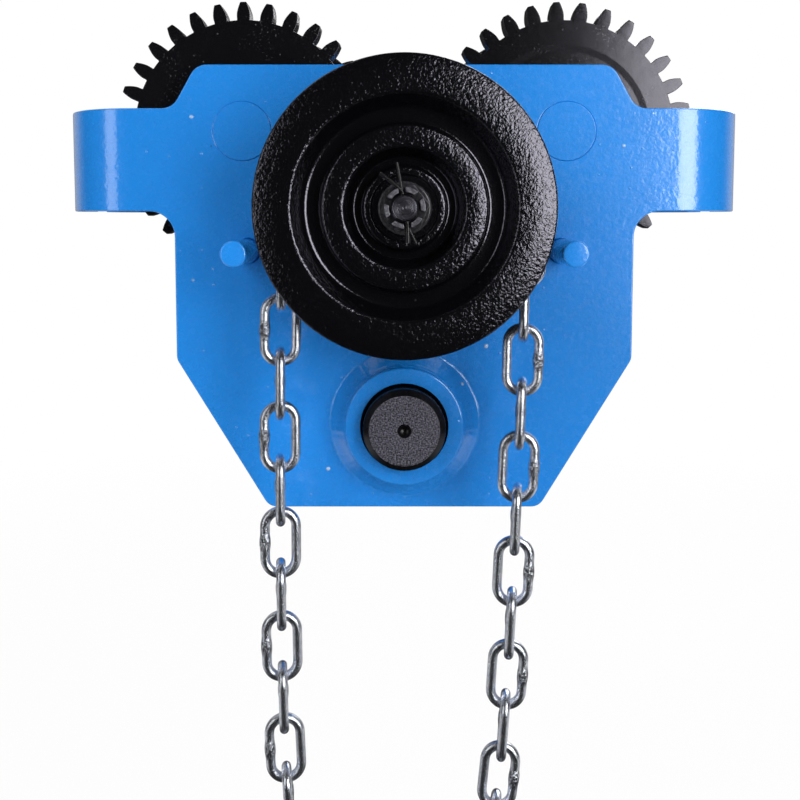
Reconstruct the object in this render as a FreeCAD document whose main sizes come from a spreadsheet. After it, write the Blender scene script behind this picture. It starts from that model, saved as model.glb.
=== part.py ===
import FreeCAD, Part
import math
import os
import re

import Sketcher

# Geared beam trolley, in millimetres.
# X runs along the beam, Y across it with the hand wheel at -Y, Z up.
# The origin is on the beam's running surface, midway between the wheels.

SIZES = [
    ("flange_width", 74.0, "beam flange width that the gauge is set to"),
    ("side_gap", 2.0, "play between beam edge and wheel flange"),
    ("tread_radius", 41.0, "wheel tread radius"),
    ("tread_width", 24.0, "wheel tread width"),
    ("tread_edge", 1.5, "chamfer at the tread's inner edge"),
    ("wheel_flange", 5.0, "flange thickness of a geared wheel"),
    ("flange_lip", 13.5, "height of a geared wheel's flange over its tread"),
    ("plain_flange", 12.0, "flange thickness of a plain wheel"),
    ("plain_lip", 24.0, "height of a plain wheel's flange over its tread"),
    ("flange_edge", 1.5, "chamfer on the wheel flanges"),
    ("face_recess", 4.0, "depth of the turned recess in a wheel's outer face"),
    ("recess_radius", 40.6, "radius of that recess at its floor"),
    ("recess_slope", 3.2, "radial run of the recess wall"),
    ("gear_module", 4.0, "gear module"),
    ("wheel_teeth", 31, "teeth on a geared wheel"),
    ("pinion_teeth", 13, "teeth on the pinion"),
    ("tooth_shift", 0.3, "profile shift, plus on the pinion and minus on the wheels"),
    ("pressure_angle", 20.0, "pressure angle in degrees"),
    ("gear_face", 14.0, "face width of the gears"),
    ("backlash", 0.3, "tooth backlash on the pitch circle"),
    ("mesh_angle", 25.54, "slope of the lines from the pinion to the wheels in degrees"),
    ("pinion_phase", 2.35, "angle of one pinion tooth in degrees"),
    ("plate_gap", 3.0, "gap between gear face and side plate"),
    ("plate_thick", 8.0, "side plate thickness"),
    ("plate_top", 73.2, "height of the plate's top edge"),
    ("shoulder_run", 11.9, "run of the sloping shoulders beside the top edge"),
    ("shoulder_neck", 20.5, "flat length of a wing between shoulder and bend"),
    ("shoulder_round", 9.0, "rounding at both ends of the shoulders"),
    ("slant_top", -71.5, "height where the lower slants begin"),
    ("plate_foot", 6.4, "height of the plate below the weld round its boss"),
    ("slant_run", 45.3, "run of the lower slants"),
    ("corner_round", 7.0, "rounding of the plate's lower corners"),
    ("wing_bottom", 2.0, "height of the wings' lower edge over the running surface"),
    ("wing_height", 50.2, "height of the wings"),
    ("wing_bend", 38.0, "outer bend radius of the wings"),
    ("wing_straight", 10.0, "straight length of the wings past the bend"),
    ("wing_gap", 1.1, "gap between a gear's corner and the inside of a wing bend"),
    ("wing_neck", 8.1, "flat length of a wing between its fillet and its bend"),
    ("wing_fillet", 12.5, "fillet under the wings"),
    ("bar_radius", 20.0, "load bar radius"),
    ("bar_height", -103.0, "height of the load bar axis"),
    ("bar_stand_out", 23.0, "load bar length outside each plate"),
    ("bar_chamfer", 2.8, "chamfer at the load bar ends"),
    ("bar_centre_hole", 3.3, "radius of the centre hole in the load bar ends"),
    ("bar_hole_depth", 6.0, "depth of the centre hole"),
    ("hook_seat_half", 18.0, "half width of the turned seat for the hook"),
    ("hook_seat_depth", 2.0, "depth of the turned seat for the hook"),
    ("boss_radius", 29.0, "load bar boss radius"),
    ("boss_length", 13.0, "load bar boss length"),
    ("boss_edge", 0.8, "chamfer at the boss's rim"),
    ("boss_mouth", 1.8, "step of the boss mouth over the bore radius"),
    ("boss_mouth_depth", 6.0, "depth of the boss mouth"),
    ("weld_leg", 8.0, "leg of the weld round a boss"),
    ("running_play", 0.05, "radial play of running fits"),
    ("axle_radius", 12.5, "axle radius in the bearing"),
    ("axle_tail", 14.2, "radius of the axle's riveted tail in the plate"),
    ("axle_nose", 2.8, "axle length past its circlip"),
    ("bearing_section", 13.5, "radial height of a wheel bearing"),
    ("bearing_width", 15.0, "bearing width"),
    ("bearing_lip", 2.5, "height of the shoulder that stops the bearing"),
    ("ball_share", 0.2926, "ball radius as a share of the bearing's radial height"),
    ("ball_play", 0.06, "play between ball and race"),
    ("ball_count", 9, "balls in a bearing"),
    ("race_share", 0.2222, "race shoulder from the ball circle as a share of that height"),
    ("clip_thick", 2.0, "bore circlip thickness"),
    ("clip_depth", 1.2, "groove depth of the bore circlip"),
    ("clip_width", 3.4, "radial width of the bore circlip"),
    ("axle_clip_thick", 1.2, "axle circlip thickness"),
    ("axle_clip_depth", 0.6, "groove depth of the axle circlip"),
    ("axle_clip_width", 3.2, "radial width of the axle circlip"),
    ("shaft_radius", 10.0, "pinion shaft radius in its bush"),
    ("bush_wall", 3.0, "wall of the shaft bush"),
    ("bush_flange", 5.0, "width of the bush flange"),
    ("bush_flange_thick", 2.0, "thickness of the bush flange"),
    ("housing_wall", 4.0, "wall of the shaft housing in the plate"),
    ("housing_rim", 5.0, "width of the housing rim on the plate"),
    ("housing_length", 12.0, "length of the housing in front of the plate"),
    ("end_play", 0.3, "axial play of turning pieces"),
    ("thrust_radius", 18.0, "thrust washer outside radius"),
    ("hub_seat_radius", 9.0, "pinion shaft radius in the hand wheel"),
    ("thread_radius", 6.0, "radius of the shaft's threaded end"),
    ("thread_edge", 0.8, "chamfer of the shaft's threaded end"),
    ("key_width", 6.0, "key width"),
    ("key_height", 6.0, "key height"),
    ("key_length", 22.0, "key length"),
    ("key_depth", 3.2, "depth of the key in the shaft"),
    ("hub_share", 0.4134, "hub radius as a share of the channel's outer radius"),
    ("hub_rise", 6.5, "height of the hub's end over the dish floor"),
    ("hub_edge", 2.0, "chamfer of the hub's outer end"),
    ("chain_stand_out", 38.0, "distance of the hand chain from the plate"),
    ("chain_pitch", 25.0, "hand chain pitch"),
    ("chain_wire", 4.5, "hand chain wire diameter"),
    ("link_width", 19.0, "outside width of a chain link"),
    ("link_play", 0.45, "play between neighbouring links along the chain"),
    ("pockets", 7, "chain pockets on the hand wheel"),
    ("chain_turn", 7.14, "turn of the chain on the hand wheel in degrees"),
    ("chain_lean", 1.2, "sideways lean of the hanging chain in degrees"),
    ("upper_links", 3, "links between the hand wheel and each swing point"),
    ("loop_links", 25, "links in the hanging loop"),
    ("chain_clear", 0.3, "gap between the chain and the wheel below it"),
    ("groove_play", 1.0, "side play of the chain in the wheel groove"),
    ("groove_flare", 3.0, "widening of the groove towards the rim"),
    ("slot_play", 0.95, "side play of a standing link in its slot"),
    ("pocket_depth", 3.7, "depth of the chain pockets"),
    ("rim_stand", 11.4, "rim height over the chain's pitch circle"),
    ("rim_thick", 5.5, "rim thickness"),
    ("rim_edge", 1.2, "rounding chamfer of the rim"),
    ("front_ring", 17.6, "width of the wheel's front ring"),
    ("channel_slope", 4.5, "radial run of the channel's outer wall"),
    ("channel_depth", 12.0, "depth of the channel behind the front ring"),
    ("step_share", 0.82, "raised step's radius as a share of the channel's outer radius"),
    ("dish_share", 0.594, "dish mouth's radius as a share of the channel's outer radius"),
    ("step_drop", 5.5, "depth of the raised step below the front ring"),
    ("dish_slope", 3.0, "radial run of the dish wall inside the step"),
    ("dish_depth", 16.5, "depth of the dish below the front ring"),
    ("web_thick", 9.0, "web thickness behind the channel"),
    ("slot_wall", 3.4, "wall under the chain slot"),
    ("washer_radius", 12.0, "nut washer radius"),
    ("washer_thick", 2.5, "nut washer thickness"),
    ("nut_flats", 19.0, "castle nut width across flats"),
    ("nut_height", 9.0, "height of the nut's hexagon"),
    ("castle_radius", 9.0, "radius of the nut's castle"),
    ("castle_height", 5.5, "height of the nut's castle"),
    ("castle_slot", 3.4, "width of the castle slots"),
    ("castle_slots", 6, "number of castle slots"),
    ("pin_radius", 1.4, "split pin radius"),
    ("pin_leg", 0.7, "radius of a split pin leg"),
    ("pin_reach", 9.0, "reach of the split pin's bent legs"),
    ("pin_spread", 18.0, "spread of each split pin leg in degrees"),
    ("pin_turn", 9.0, "turn of nut and split pin in degrees"),
    ("rod_radius", 6.0, "chain guide rod radius"),
    ("rod_clear", 6.1, "gap between hand wheel rim and chain guide rods"),
    ("rod_drop", 20.5, "drop of the chain guide rods below the pinion shaft"),
    ("rod_length", 48.0, "length of the chain guide rods outside the plate"),
    ("rod_edge", 0.8, "chamfer at the rod ends"),
]

# Sizes that follow from the ones above.
# Stations named *_in and *_out are distances from the trolley's middle plane.
DERIVED = {
    "gauge": "flange_width / 2 + side_gap",
    "tread_in": "gauge - tread_width",
    "gear_in": "gauge + wheel_flange",
    "gear_out": "gear_in + gear_face",
    "plate_in": "gear_out + plate_gap",
    "plate_out": "plate_in + plate_thick",
    "bearing_in": "gauge - bearing_width",
    "clip_in": "bearing_in - clip_thick",
    "axle_clip_in": "bearing_in - axle_clip_thick",
    "axle_end": "axle_clip_in - axle_nose",
    "bearing_middle": "gauge - bearing_width / 2",
    "bearing_radius": "axle_radius + bearing_section",
    "ball_circle": "axle_radius + bearing_section / 2",
    "ball_radius": "ball_share * bearing_section",
    "race_shoulder": "race_share * bearing_section",
    "axle_collar": "ball_circle - race_shoulder",
    "race_radius": "ball_radius + ball_play",
    "race_half": "sqrt(race_radius^2 - race_shoulder^2)",
    "hub_hole": "bearing_radius - bearing_lip",
    "wheel_pitch": "gear_module * wheel_teeth / 2",
    "wheel_tip": "wheel_pitch + gear_module * (1 - tooth_shift)",
    "wheel_root": "wheel_pitch - gear_module * (1.25 + tooth_shift)",
    "gear_inside": "wheel_root - gear_module",
    "pinion_pitch": "gear_module * pinion_teeth / 2",
    "pinion_tip": "pinion_pitch + gear_module * (1 + tooth_shift)",
    "pinion_root": "pinion_pitch - gear_module * (1.25 - tooth_shift)",
    "gear_centres": "wheel_pitch + pinion_pitch",
    "wheel_half": "gear_centres * cos(mesh_angle * 1 deg)",
    "shaft_drop": "gear_centres * sin(mesh_angle * 1 deg)",
    "shaft_height": "tread_radius - shaft_drop",
    "wing_top": "wing_bottom + wing_height",
    "bend_inside": "wing_bend - plate_thick",
    "bend_reach": "sqrt((bend_inside - wing_gap)^2 - (bend_inside - plate_gap)^2)",
    "bend_start": "wheel_half + wheel_tip - bend_reach",
    "half_length": "bend_start + wing_bend",
    "shoulder_half": "bend_start - shoulder_neck",
    "plate_top_half": "shoulder_half - shoulder_run",
    "body_half": "bend_start - wing_neck - wing_fillet",
    "bottom_half": "body_half - slant_run",
    "bend_middle": "plate_out - wing_bend",
    "wing_end": "bend_middle - wing_straight",
    "plate_bottom": "bar_height - boss_radius - weld_leg - plate_foot",
    "bar_end": "plate_out + bar_stand_out",
    "bar_bore": "bar_radius + running_play",
    "boss_end": "plate_out + boss_length",
    "bush_radius": "shaft_radius + bush_wall",
    "housing_radius": "bush_radius + housing_wall",
    "housing_end": "plate_out + housing_length",
    "bush_end": "housing_end + bush_flange_thick",
    "hub_in": "bush_end + end_play",
    "hub_out": "dish_floor + hub_rise",
    "hub_length": "hub_out - hub_in",
    "washer_out": "hub_out + washer_thick",
    "hex_out": "washer_out + nut_height",
    "nut_out": "hex_out + castle_height",
    "pin_station": "hex_out + castle_height / 2",
    "rod_circle": "rim_radius + rod_clear + rod_radius",
    "rod_half": "sqrt(rod_circle^2 - rod_drop^2)",
    "rod_height": "shaft_height - rod_drop",
    "rod_end": "plate_out + rod_length",
    "chain_station": "plate_out + chain_stand_out",
    "half_step": "90 deg / pockets",
    "chain_circle": "chain_pitch / (2 * sin(half_step))",
    "chain_flat": "chain_pitch / (2 * tan(half_step))",
    "seat_radius": "chain_flat - chain_wire / 2 - chain_clear",
    "slot_radius": "chain_flat - link_width / 2 - chain_clear",
    "slot_half": "chain_wire / 2 + slot_play",
    "groove_half": "link_width / 2 + groove_play",
    "mouth_half": "groove_half + groove_flare",
    "rim_radius": "chain_circle + rim_stand",
    "rim_front": "chain_station + mouth_half + rim_thick",
    "rim_back": "chain_station - mouth_half - rim_thick",
    "ring_inner": "rim_radius - front_ring",
    "channel_outer": "ring_inner - channel_slope",
    "channel_floor": "rim_front - channel_depth",
    "step_outer": "step_share * channel_outer",
    "step_inner": "dish_share * channel_outer",
    "hub_radius": "hub_share * channel_outer",
    "step_face": "rim_front - step_drop",
    "dish_floor": "rim_front - dish_depth",
    "dish_outer": "step_inner - dish_slope",
    "web_back": "channel_floor - web_thick",
    "web_rim": "slot_radius - slot_wall",
}

TURN_ABOUT_Z = FreeCAD.Vector(0, 0, 1)
ALONG_X = FreeCAD.Vector(1, 0, 0)
ALONG_Y = FreeCAD.Vector(0, 1, 0)
SIDES = (("left", -1), ("right", 1))
FLANK_POINTS = 6
SOLVER_STEPS = 80
SAME_SPOT = 0.05

doc = FreeCAD.newDocument("geared_beam_trolley")
dims = doc.addObject("Spreadsheet::Sheet", "dims")
for row, (alias, value, note) in enumerate(SIZES, start=1):
    dims.set(f"A{row}", note)
    dims.set(f"B{row}", str(value))
    dims.setAlias(f"B{row}", alias)
doc.recompute()
ALIASES = {alias for alias, value, note in SIZES}
subparts = []


def expr(text):
    """A size as an expression on the sheet, with the derived names worked in."""
    def swap(match):
        word = match.group()
        if word in DERIVED:
            return "(" + expr(DERIVED[word]) + ")"
        if word in ALIASES:
            return "dims." + word
        return word
    return re.sub(r"[a-z_]+", swap, str(text))


def size(text):
    """The present value of a size in millimetres, degrees or counts."""
    return float(dims.evalExpression(expr(text)))


def keep(made, label):
    """Names a finished sub-part and puts it on the list to be written."""
    made.Label = label
    subparts.append(made)
    return made


def bind(sketch, constraint, text):
    number = sketch.addConstraint(constraint)
    sketch.setExpression(f"Constraints[{number}]", expr(text))


def pin_point(sketch, number, end, x, y):
    bind(sketch, Sketcher.Constraint("DistanceX", -1, 1, number, end, size(x)), x)
    bind(sketch, Sketcher.Constraint("DistanceY", -1, 1, number, end, size(y)), y)


def arc_between(start, finish, radius, side):
    """Arc from start to finish with its centre on the left (side 1) or the right (side -1)."""
    chord = finish - start
    rise = math.sqrt(max(radius ** 2 - (chord.Length / 2) ** 2, 0))
    left = FreeCAD.Vector(-chord.y, chord.x, 0).normalize()
    centre = (start + finish) / 2 + left * (rise * side)
    first, last = (start, finish) if side > 0 else (finish, start)
    begin = math.atan2(first.y - centre.y, first.x - centre.x)
    end = math.atan2(last.y - centre.y, last.x - centre.x)
    if end < begin:
        end += 2 * math.pi
    return Part.ArcOfCircle(Part.Circle(centre, TURN_ABOUT_Z, radius), begin, end)


def draw(sketch, corners, arcs=None):
    """Closed outline through corners; arcs gives some edges a radius and a side."""
    arcs = arcs or {}
    spots = [FreeCAD.Vector(size(x), size(y), 0) for x, y in corners]
    ends = []
    for index, start in enumerate(spots):
        finish = spots[(index + 1) % len(spots)]
        if index in arcs:
            radius, side = arcs[index]
            number = sketch.addGeometry(arc_between(start, finish, size(radius), side))
            bind(sketch, Sketcher.Constraint("Radius", number, size(radius)), radius)
            ends.append((number, 1, 2) if side > 0 else (number, 2, 1))
        else:
            number = sketch.addGeometry(Part.LineSegment(start, finish))
            ends.append((number, 1, 2))
    for index, (number, first, last) in enumerate(ends):
        following, begin, finish = ends[(index + 1) % len(ends)]
        sketch.addConstraint(Sketcher.Constraint("Coincident", number, last, following, begin))
        pin_point(sketch, number, first, *corners[index])


def draw_hole(sketch, x, y, radius):
    circle = Part.Circle(FreeCAD.Vector(size(x), size(y), 0), TURN_ABOUT_Z, size(radius))
    number = sketch.addGeometry(circle)
    bind(sketch, Sketcher.Constraint("Radius", number, size(radius)), radius)
    pin_point(sketch, number, 3, x, y)


def new_body(label):
    return doc.addObject("PartDesign::Body", label)


def new_sketch(body, name, role, lift="0"):
    """Sketch on one of the body's own planes, lifted along the plane's normal."""
    sketch = body.newObject("Sketcher::SketchObject", name)
    plane = next(item for item in body.Origin.OriginFeatures if item.Role == role)
    sketch.AttachmentSupport = (plane, [""])
    sketch.MapMode = "FlatFace"
    sketch.setExpression("AttachmentOffset.Base.z", expr(lift))
    return sketch


def pad(body, sketch, length):
    made = body.newObject("PartDesign::Pad", sketch.Name + "_pad")
    made.Profile = sketch
    made.setExpression("Length", expr(length))
    return made


def pocket(body, sketch, length):
    """Cut upwards from a sketch."""
    made = body.newObject("PartDesign::Pocket", sketch.Name + "_pocket")
    made.Profile = sketch
    made.setExpression("Length", expr(length))
    made.Reversed = True
    return made


def place(made, x="0", z="0", back=False):
    """Moves a piece to its axis; back turns it round to the idler side."""
    turn = FreeCAD.Rotation(TURN_ABOUT_Z, 180 if back else 0)
    made.Placement = FreeCAD.Placement(FreeCAD.Vector(), turn)
    made.setExpression("Placement.Base.x", expr(x))
    made.setExpression("Placement.Base.z", expr(z))
    return made


def turned(label, profile, arcs=None):
    """Piece turned about the Y axis from corners of radius and distance out from the middle."""
    body = new_body(label)
    sketch = new_sketch(body, label + "_profile", "XY_Plane")
    draw(sketch, [(radius, f"-({out})") for radius, out in profile], arcs)
    spun = body.newObject("PartDesign::Revolution", label + "_turning")
    spun.Profile = sketch
    spun.ReferenceAxis = (sketch, ["V_Axis"])
    spun.Angle = 360
    return body


def boolean(kind, label, base, tool):
    made = doc.addObject("Part::" + kind, label)
    made.Base = base
    made.Tool = tool
    return made


def cylinder(label, radius, length, x="0", y="0", z="0", along=None):
    """Cylinder from a point, along local Z turned to the given direction."""
    made = doc.addObject("Part::Cylinder", label)
    made.setExpression("Radius", expr(radius))
    made.setExpression("Height", expr(length))
    turn = FreeCAD.Rotation(TURN_ABOUT_Z, along or TURN_ABOUT_Z)
    made.Placement = FreeCAD.Placement(FreeCAD.Vector(), turn)
    for axis, text in (("x", x), ("y", y), ("z", z)):
        made.setExpression("Placement.Base." + axis, expr(text))
    return made


def shaped(label, shape, x=0, z=0):
    """Piece whose shape comes from a formula, moved to its axis."""
    made = doc.addObject("Part::Feature", label)
    made.Shape = shape
    made.Placement = FreeCAD.Placement(FreeCAD.Vector(x, 0, z), FreeCAD.Rotation())
    return made


# Gears

def involute_half_angle(radius, pitch, base, half_at_pitch):
    """Half angle of a tooth at a radius outside the base circle."""
    def spread(at):
        turn = math.sqrt(max((at / base) ** 2 - 1, 0))
        return turn - math.atan(turn)
    return half_at_pitch + spread(pitch) - spread(radius)


def gear_wire(teeth, shift, pitch, root, tip, phase):
    """Outline of a spur gear on its inner face, with one tooth at the angle phase."""
    angle = math.radians(size("pressure_angle"))
    base = pitch * math.cos(angle)
    thick = size("gear_module") * (math.pi / 2 + 2 * shift * math.tan(angle)) - size("backlash") / 2
    half_at_pitch = thick / (2 * pitch)
    low = max(base, root)
    steps = [low + (tip - low) * index / (FLANK_POINTS - 1) for index in range(FLANK_POINTS)]
    halves = [involute_half_angle(radius, pitch, base, half_at_pitch) for radius in steps]

    def spot(radius, turn):
        return FreeCAD.Vector(radius * math.cos(turn), -size("gear_in"), radius * math.sin(turn))

    def flank(middle, side):
        points = [spot(radius, middle + side * half) for radius, half in zip(steps, halves)]
        curve = Part.BSplineCurve()
        curve.interpolate(points if side < 0 else points[::-1])
        return curve.toShape()

    edges = []
    pitch_angle = 2 * math.pi / teeth
    for index in range(teeth):
        middle = phase + index * pitch_angle
        rise, fall = middle - halves[0], middle + halves[0]
        following = rise + pitch_angle
        if low > root:
            edges.append(Part.makeLine(spot(root, rise), spot(low, rise)))
        edges.append(flank(middle, -1))
        tips = [spot(tip, middle + turn) for turn in (-halves[-1], 0, halves[-1])]
        edges.append(Part.Arc(*tips).toShape())
        edges.append(flank(middle, 1))
        if low > root:
            edges.append(Part.makeLine(spot(low, fall), spot(root, fall)))
        roots = [spot(root, turn) for turn in (fall, (fall + following) / 2, following)]
        edges.append(Part.Arc(*roots).toShape())
    return Part.Wire(edges)


def gear_solid(outline, inside):
    """Gear face between the gear stations, with a round hole where inside is a radius."""
    wires = [outline]
    if inside:
        centre = FreeCAD.Vector(0, -size("gear_in"), 0)
        wires.append(Part.Wire(Part.makeCircle(inside, centre, ALONG_Y)))
    face = Part.Face(wires, "Part::FaceMakerBullseye")
    return face.extrude(FreeCAD.Vector(0, -size("gear_face"), 0))


def wheel_phase(sign):
    """Angle of a wheel tooth that meshes with the pinion from the left or the right."""
    towards_pinion = math.atan2(-size("shaft_drop"), -sign * size("wheel_half"))
    wheel_step = 2 * math.pi / size("wheel_teeth")
    pinion_step = 2 * math.pi / size("pinion_teeth")
    offset = (math.radians(size("pinion_phase")) - towards_pinion - math.pi) / pinion_step
    return towards_pinion + (0.5 - offset) * wheel_step


# Trolley wheels with their axles and bearings

BEARING_SEAT = [
    ("bearing_radius", "tread_in"),
    ("bearing_radius", "clip_in"),
    ("bearing_radius + clip_depth", "clip_in"),
    ("bearing_radius + clip_depth", "bearing_in"),
    ("bearing_radius", "bearing_in"),
    ("bearing_radius", "gauge"),
    ("hub_hole", "gauge"),
]
TREAD = [
    ("tread_radius", "gauge"),
    ("tread_radius", "tread_in + tread_edge"),
    ("tread_radius - tread_edge", "tread_in"),
]


def gear_wheel(side, sign):
    label = f"gear_wheel_{side}"
    blank = turned(label + "_blank", BEARING_SEAT + [
        ("hub_hole", "gear_out - face_recess"),
        ("recess_radius", "gear_out - face_recess"),
        ("recess_radius + recess_slope", "gear_out"),
        ("gear_inside", "gear_out"),
        ("gear_inside", "gear_in"),
        ("tread_radius + flange_lip", "gear_in"),
        ("tread_radius + flange_lip", "gauge + flange_edge"),
        ("tread_radius + flange_lip - flange_edge", "gauge"),
    ] + TREAD)
    place(blank, f"{sign} * wheel_half", "tread_radius")
    sizes = [size("wheel_" + name) for name in ("pitch", "root", "tip")]
    outline = gear_wire(int(size("wheel_teeth")), -size("tooth_shift"), *sizes, wheel_phase(sign))
    ring = shaped(label + "_teeth", gear_solid(outline, size("gear_inside")),
                  sign * size("wheel_half"), size("tread_radius"))
    keep(boolean("Fuse", label, blank, ring), label)


def plain_wheel(side, sign):
    label = f"plain_wheel_{side}"
    outer = "gauge + plain_flange"
    lip = "tread_radius + plain_lip"
    wheel = turned(label, BEARING_SEAT + [
        ("hub_hole", f"{outer} - face_recess"),
        ("recess_radius", f"{outer} - face_recess"),
        ("recess_radius + recess_slope", outer),
        (f"{lip} - flange_edge", outer),
        (lip, f"{outer} - flange_edge"),
        (lip, "gauge + flange_edge"),
        (f"{lip} - flange_edge", "gauge"),
    ] + TREAD)
    keep(place(wheel, f"{sign} * wheel_half", "tread_radius", back=True), label)


def wheel_axle(name, x, back):
    axle = turned(f"{name}_axle", [
        ("0", "axle_end"),
        ("axle_radius - axle_clip_depth", "axle_end"),
        ("axle_radius", "axle_end + axle_clip_depth"),
        ("axle_radius", "axle_clip_in"),
        ("axle_radius - axle_clip_depth", "axle_clip_in"),
        ("axle_radius - axle_clip_depth", "bearing_in"),
        ("axle_radius", "bearing_in"),
        ("axle_radius", "gauge"),
        ("axle_collar", "gauge"),
        ("axle_collar", "plate_in"),
        ("axle_tail", "plate_in"),
        ("axle_tail", "plate_out"),
        ("0", "plate_out"),
    ])
    keep(place(axle, x, "tread_radius", back), f"{name}_axle")


def wheel_bearing(name, x, back):
    inner_face = "ball_circle - race_shoulder"
    inner = turned(f"{name}_bearing_inner_ring", [
        ("axle_radius", "bearing_in"),
        (inner_face, "bearing_in"),
        (inner_face, "bearing_middle - race_half"),
        (inner_face, "bearing_middle + race_half"),
        (inner_face, "gauge"),
        ("axle_radius", "gauge"),
    ], {2: ("race_radius", 1)})
    keep(place(inner, x, "tread_radius", back), f"{name}_bearing_inner_ring")
    outer_face = "ball_circle + race_shoulder"
    outer = turned(f"{name}_bearing_outer_ring", [
        ("bearing_radius", "bearing_in"),
        (outer_face, "bearing_in"),
        (outer_face, "bearing_middle - race_half"),
        (outer_face, "bearing_middle + race_half"),
        (outer_face, "gauge"),
        ("bearing_radius", "gauge"),
    ], {2: ("race_radius", -1)})
    keep(place(outer, x, "tread_radius", back), f"{name}_bearing_outer_ring")
    count = int(size("ball_count"))
    station = size("bearing_middle") * (1 if back else -1)
    balls = []
    for index in range(count):
        turn = 2 * math.pi * index / count
        across = size("ball_circle") * math.cos(turn)
        up = size("ball_circle") * math.sin(turn)
        balls.append(Part.makeSphere(size("ball_radius"), FreeCAD.Vector(across, station, up)))
    keep(shaped(f"{name}_bearing_balls", Part.makeCompound(balls), size(x), size("tread_radius")),
         f"{name}_bearing_balls")


def ring_clip(label, inner, outer, start, finish, x, back):
    """Circlip as a ring with its gap at the top."""
    ring = turned(label + "_ring", [(inner, start), (outer, start), (outer, finish), (inner, finish)])
    place(ring, x, "tread_radius", back)
    gap = doc.addObject("Part::Box", label + "_gap")
    gap.setExpression("Length", expr("2 * clip_width"))
    gap.setExpression("Width", expr("4 * gauge"))
    gap.setExpression("Height", expr("2 * bearing_radius"))
    gap.setExpression("Placement.Base.x", expr(f"{x} - clip_width"))
    gap.setExpression("Placement.Base.y", expr("-2 * gauge"))
    gap.setExpression("Placement.Base.z", expr("tread_radius"))
    keep(boolean("Cut", label, ring, gap), label)


def wheel_clips(name, x, back):
    ring_clip(f"{name}_bore_circlip", "bearing_radius + clip_depth - clip_width",
              "bearing_radius + clip_depth", "clip_in", "bearing_in", x, back)
    ring_clip(f"{name}_axle_circlip", "axle_radius - axle_clip_depth",
              "axle_radius - axle_clip_depth + axle_clip_width", "axle_clip_in", "bearing_in", x, back)


def trolley_wheels():
    for side, sign in SIDES:
        gear_wheel(side, sign)
        plain_wheel(side, sign)
        for end, back in (("front", False), ("rear", True)):
            name = f"{end}_{side}"
            x = f"{sign} * wheel_half"
            wheel_axle(name, x, back)
            wheel_bearing(name, x, back)
            wheel_clips(name, x, back)


# Side plates, bosses, guide rods and load bar

def plate_corners():
    """Front outline of a side plate, clockwise from its top right corner."""
    right = [
        ("plate_top_half", "plate_top"),
        ("shoulder_half", "wing_top"),
        ("bend_start", "wing_top"),
        ("bend_start", "wing_bottom"),
        ("body_half + wing_fillet", "wing_bottom"),
        ("body_half", "wing_bottom - wing_fillet"),
        ("body_half", "slant_top"),
        ("bottom_half", "plate_bottom"),
    ]
    left = [(f"-({x})", z) for x, z in reversed(right)]
    return right + left


def side_plate(label, back):
    body = new_body(label)
    front = new_sketch(body, label + "_outline", "XZ_Plane", "plate_in")
    draw(front, plate_corners(), {4: ("wing_fillet", 1), 10: ("wing_fillet", 1)})
    for sign in (-1, 1):
        draw_hole(front, f"{sign} * wheel_half", "tread_radius", "axle_tail")
    draw_hole(front, "0", "bar_height", "bar_bore")
    if not back:
        draw_hole(front, "0", "shaft_height", "housing_radius")
        for sign in (-1, 1):
            draw_hole(front, f"{sign} * rod_half", "rod_height", "rod_radius")
    flat = pad(body, front, "plate_thick")
    doc.recompute()
    upper = [("plate_top_half", "plate_top"), ("shoulder_half", "wing_top")]
    lower = [("body_half", "slant_top"), ("bottom_half", "plate_bottom")]
    shouldered = rounded(body, label + "_shoulders", flat, upper, "shoulder_round")
    rounded(body, label + "_corners", shouldered, lower, "corner_round")
    bends = new_sketch(body, label + "_wings", "XY_Plane", "wing_bottom")
    for sign in (-1, 1):
        draw_wing(bends, sign)
    pad(body, bends, "wing_height")
    keep(place(body, back=back), label)


def rounded(body, name, base, corners, radius):
    """Rounds some corners of the plate's outline, right and left."""
    made = body.newObject("PartDesign::Fillet", name)
    made.Base = (base, corner_edges(base.Shape, corners))
    made.setExpression("Radius", expr(radius))
    doc.recompute()
    return made


def corner_edges(shape, corners):
    """Names of the plate's edges across its thickness at some corners of its outline."""
    spots = [(sign * size(x), size(z)) for x, z in corners for sign in (-1, 1)]
    found = []
    for number, edge in enumerate(shape.Edges, start=1):
        middle = edge.CenterOfMass
        across = edge.BoundBox.YLength > size("plate_thick") / 2
        near = any(math.hypot(middle.x - x, middle.z - z) < SAME_SPOT for x, z in spots)
        if across and near:
            found.append(f"Edge{number}")
    return found


def draw_wing(sketch, sign):
    """Bent end of a side plate seen from above."""
    outer = f"{sign} * half_length"
    inner = f"{sign} * (half_length - plate_thick)"
    start = f"{sign} * bend_start"
    corners = [
        (start, "-plate_out"),
        (outer, "-bend_middle"),
        (outer, "-wing_end"),
        (inner, "-wing_end"),
        (inner, "-bend_middle"),
        (start, "-plate_in"),
    ]
    draw(sketch, corners, {0: ("wing_bend", sign), 4: ("bend_inside", -sign)})


def boss(label, back):
    made = turned(label, [
        ("bar_bore", "plate_out"),
        ("boss_radius + weld_leg", "plate_out"),
        ("boss_radius", "plate_out + weld_leg"),
        ("boss_radius", "boss_end - boss_edge"),
        ("boss_radius - boss_edge", "boss_end"),
        ("bar_bore + boss_mouth", "boss_end"),
        ("bar_bore + boss_mouth", "boss_end - boss_mouth_depth"),
        ("bar_bore", "boss_end - boss_mouth_depth"),
    ])
    keep(place(made, "0", "bar_height", back), label)


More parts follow.
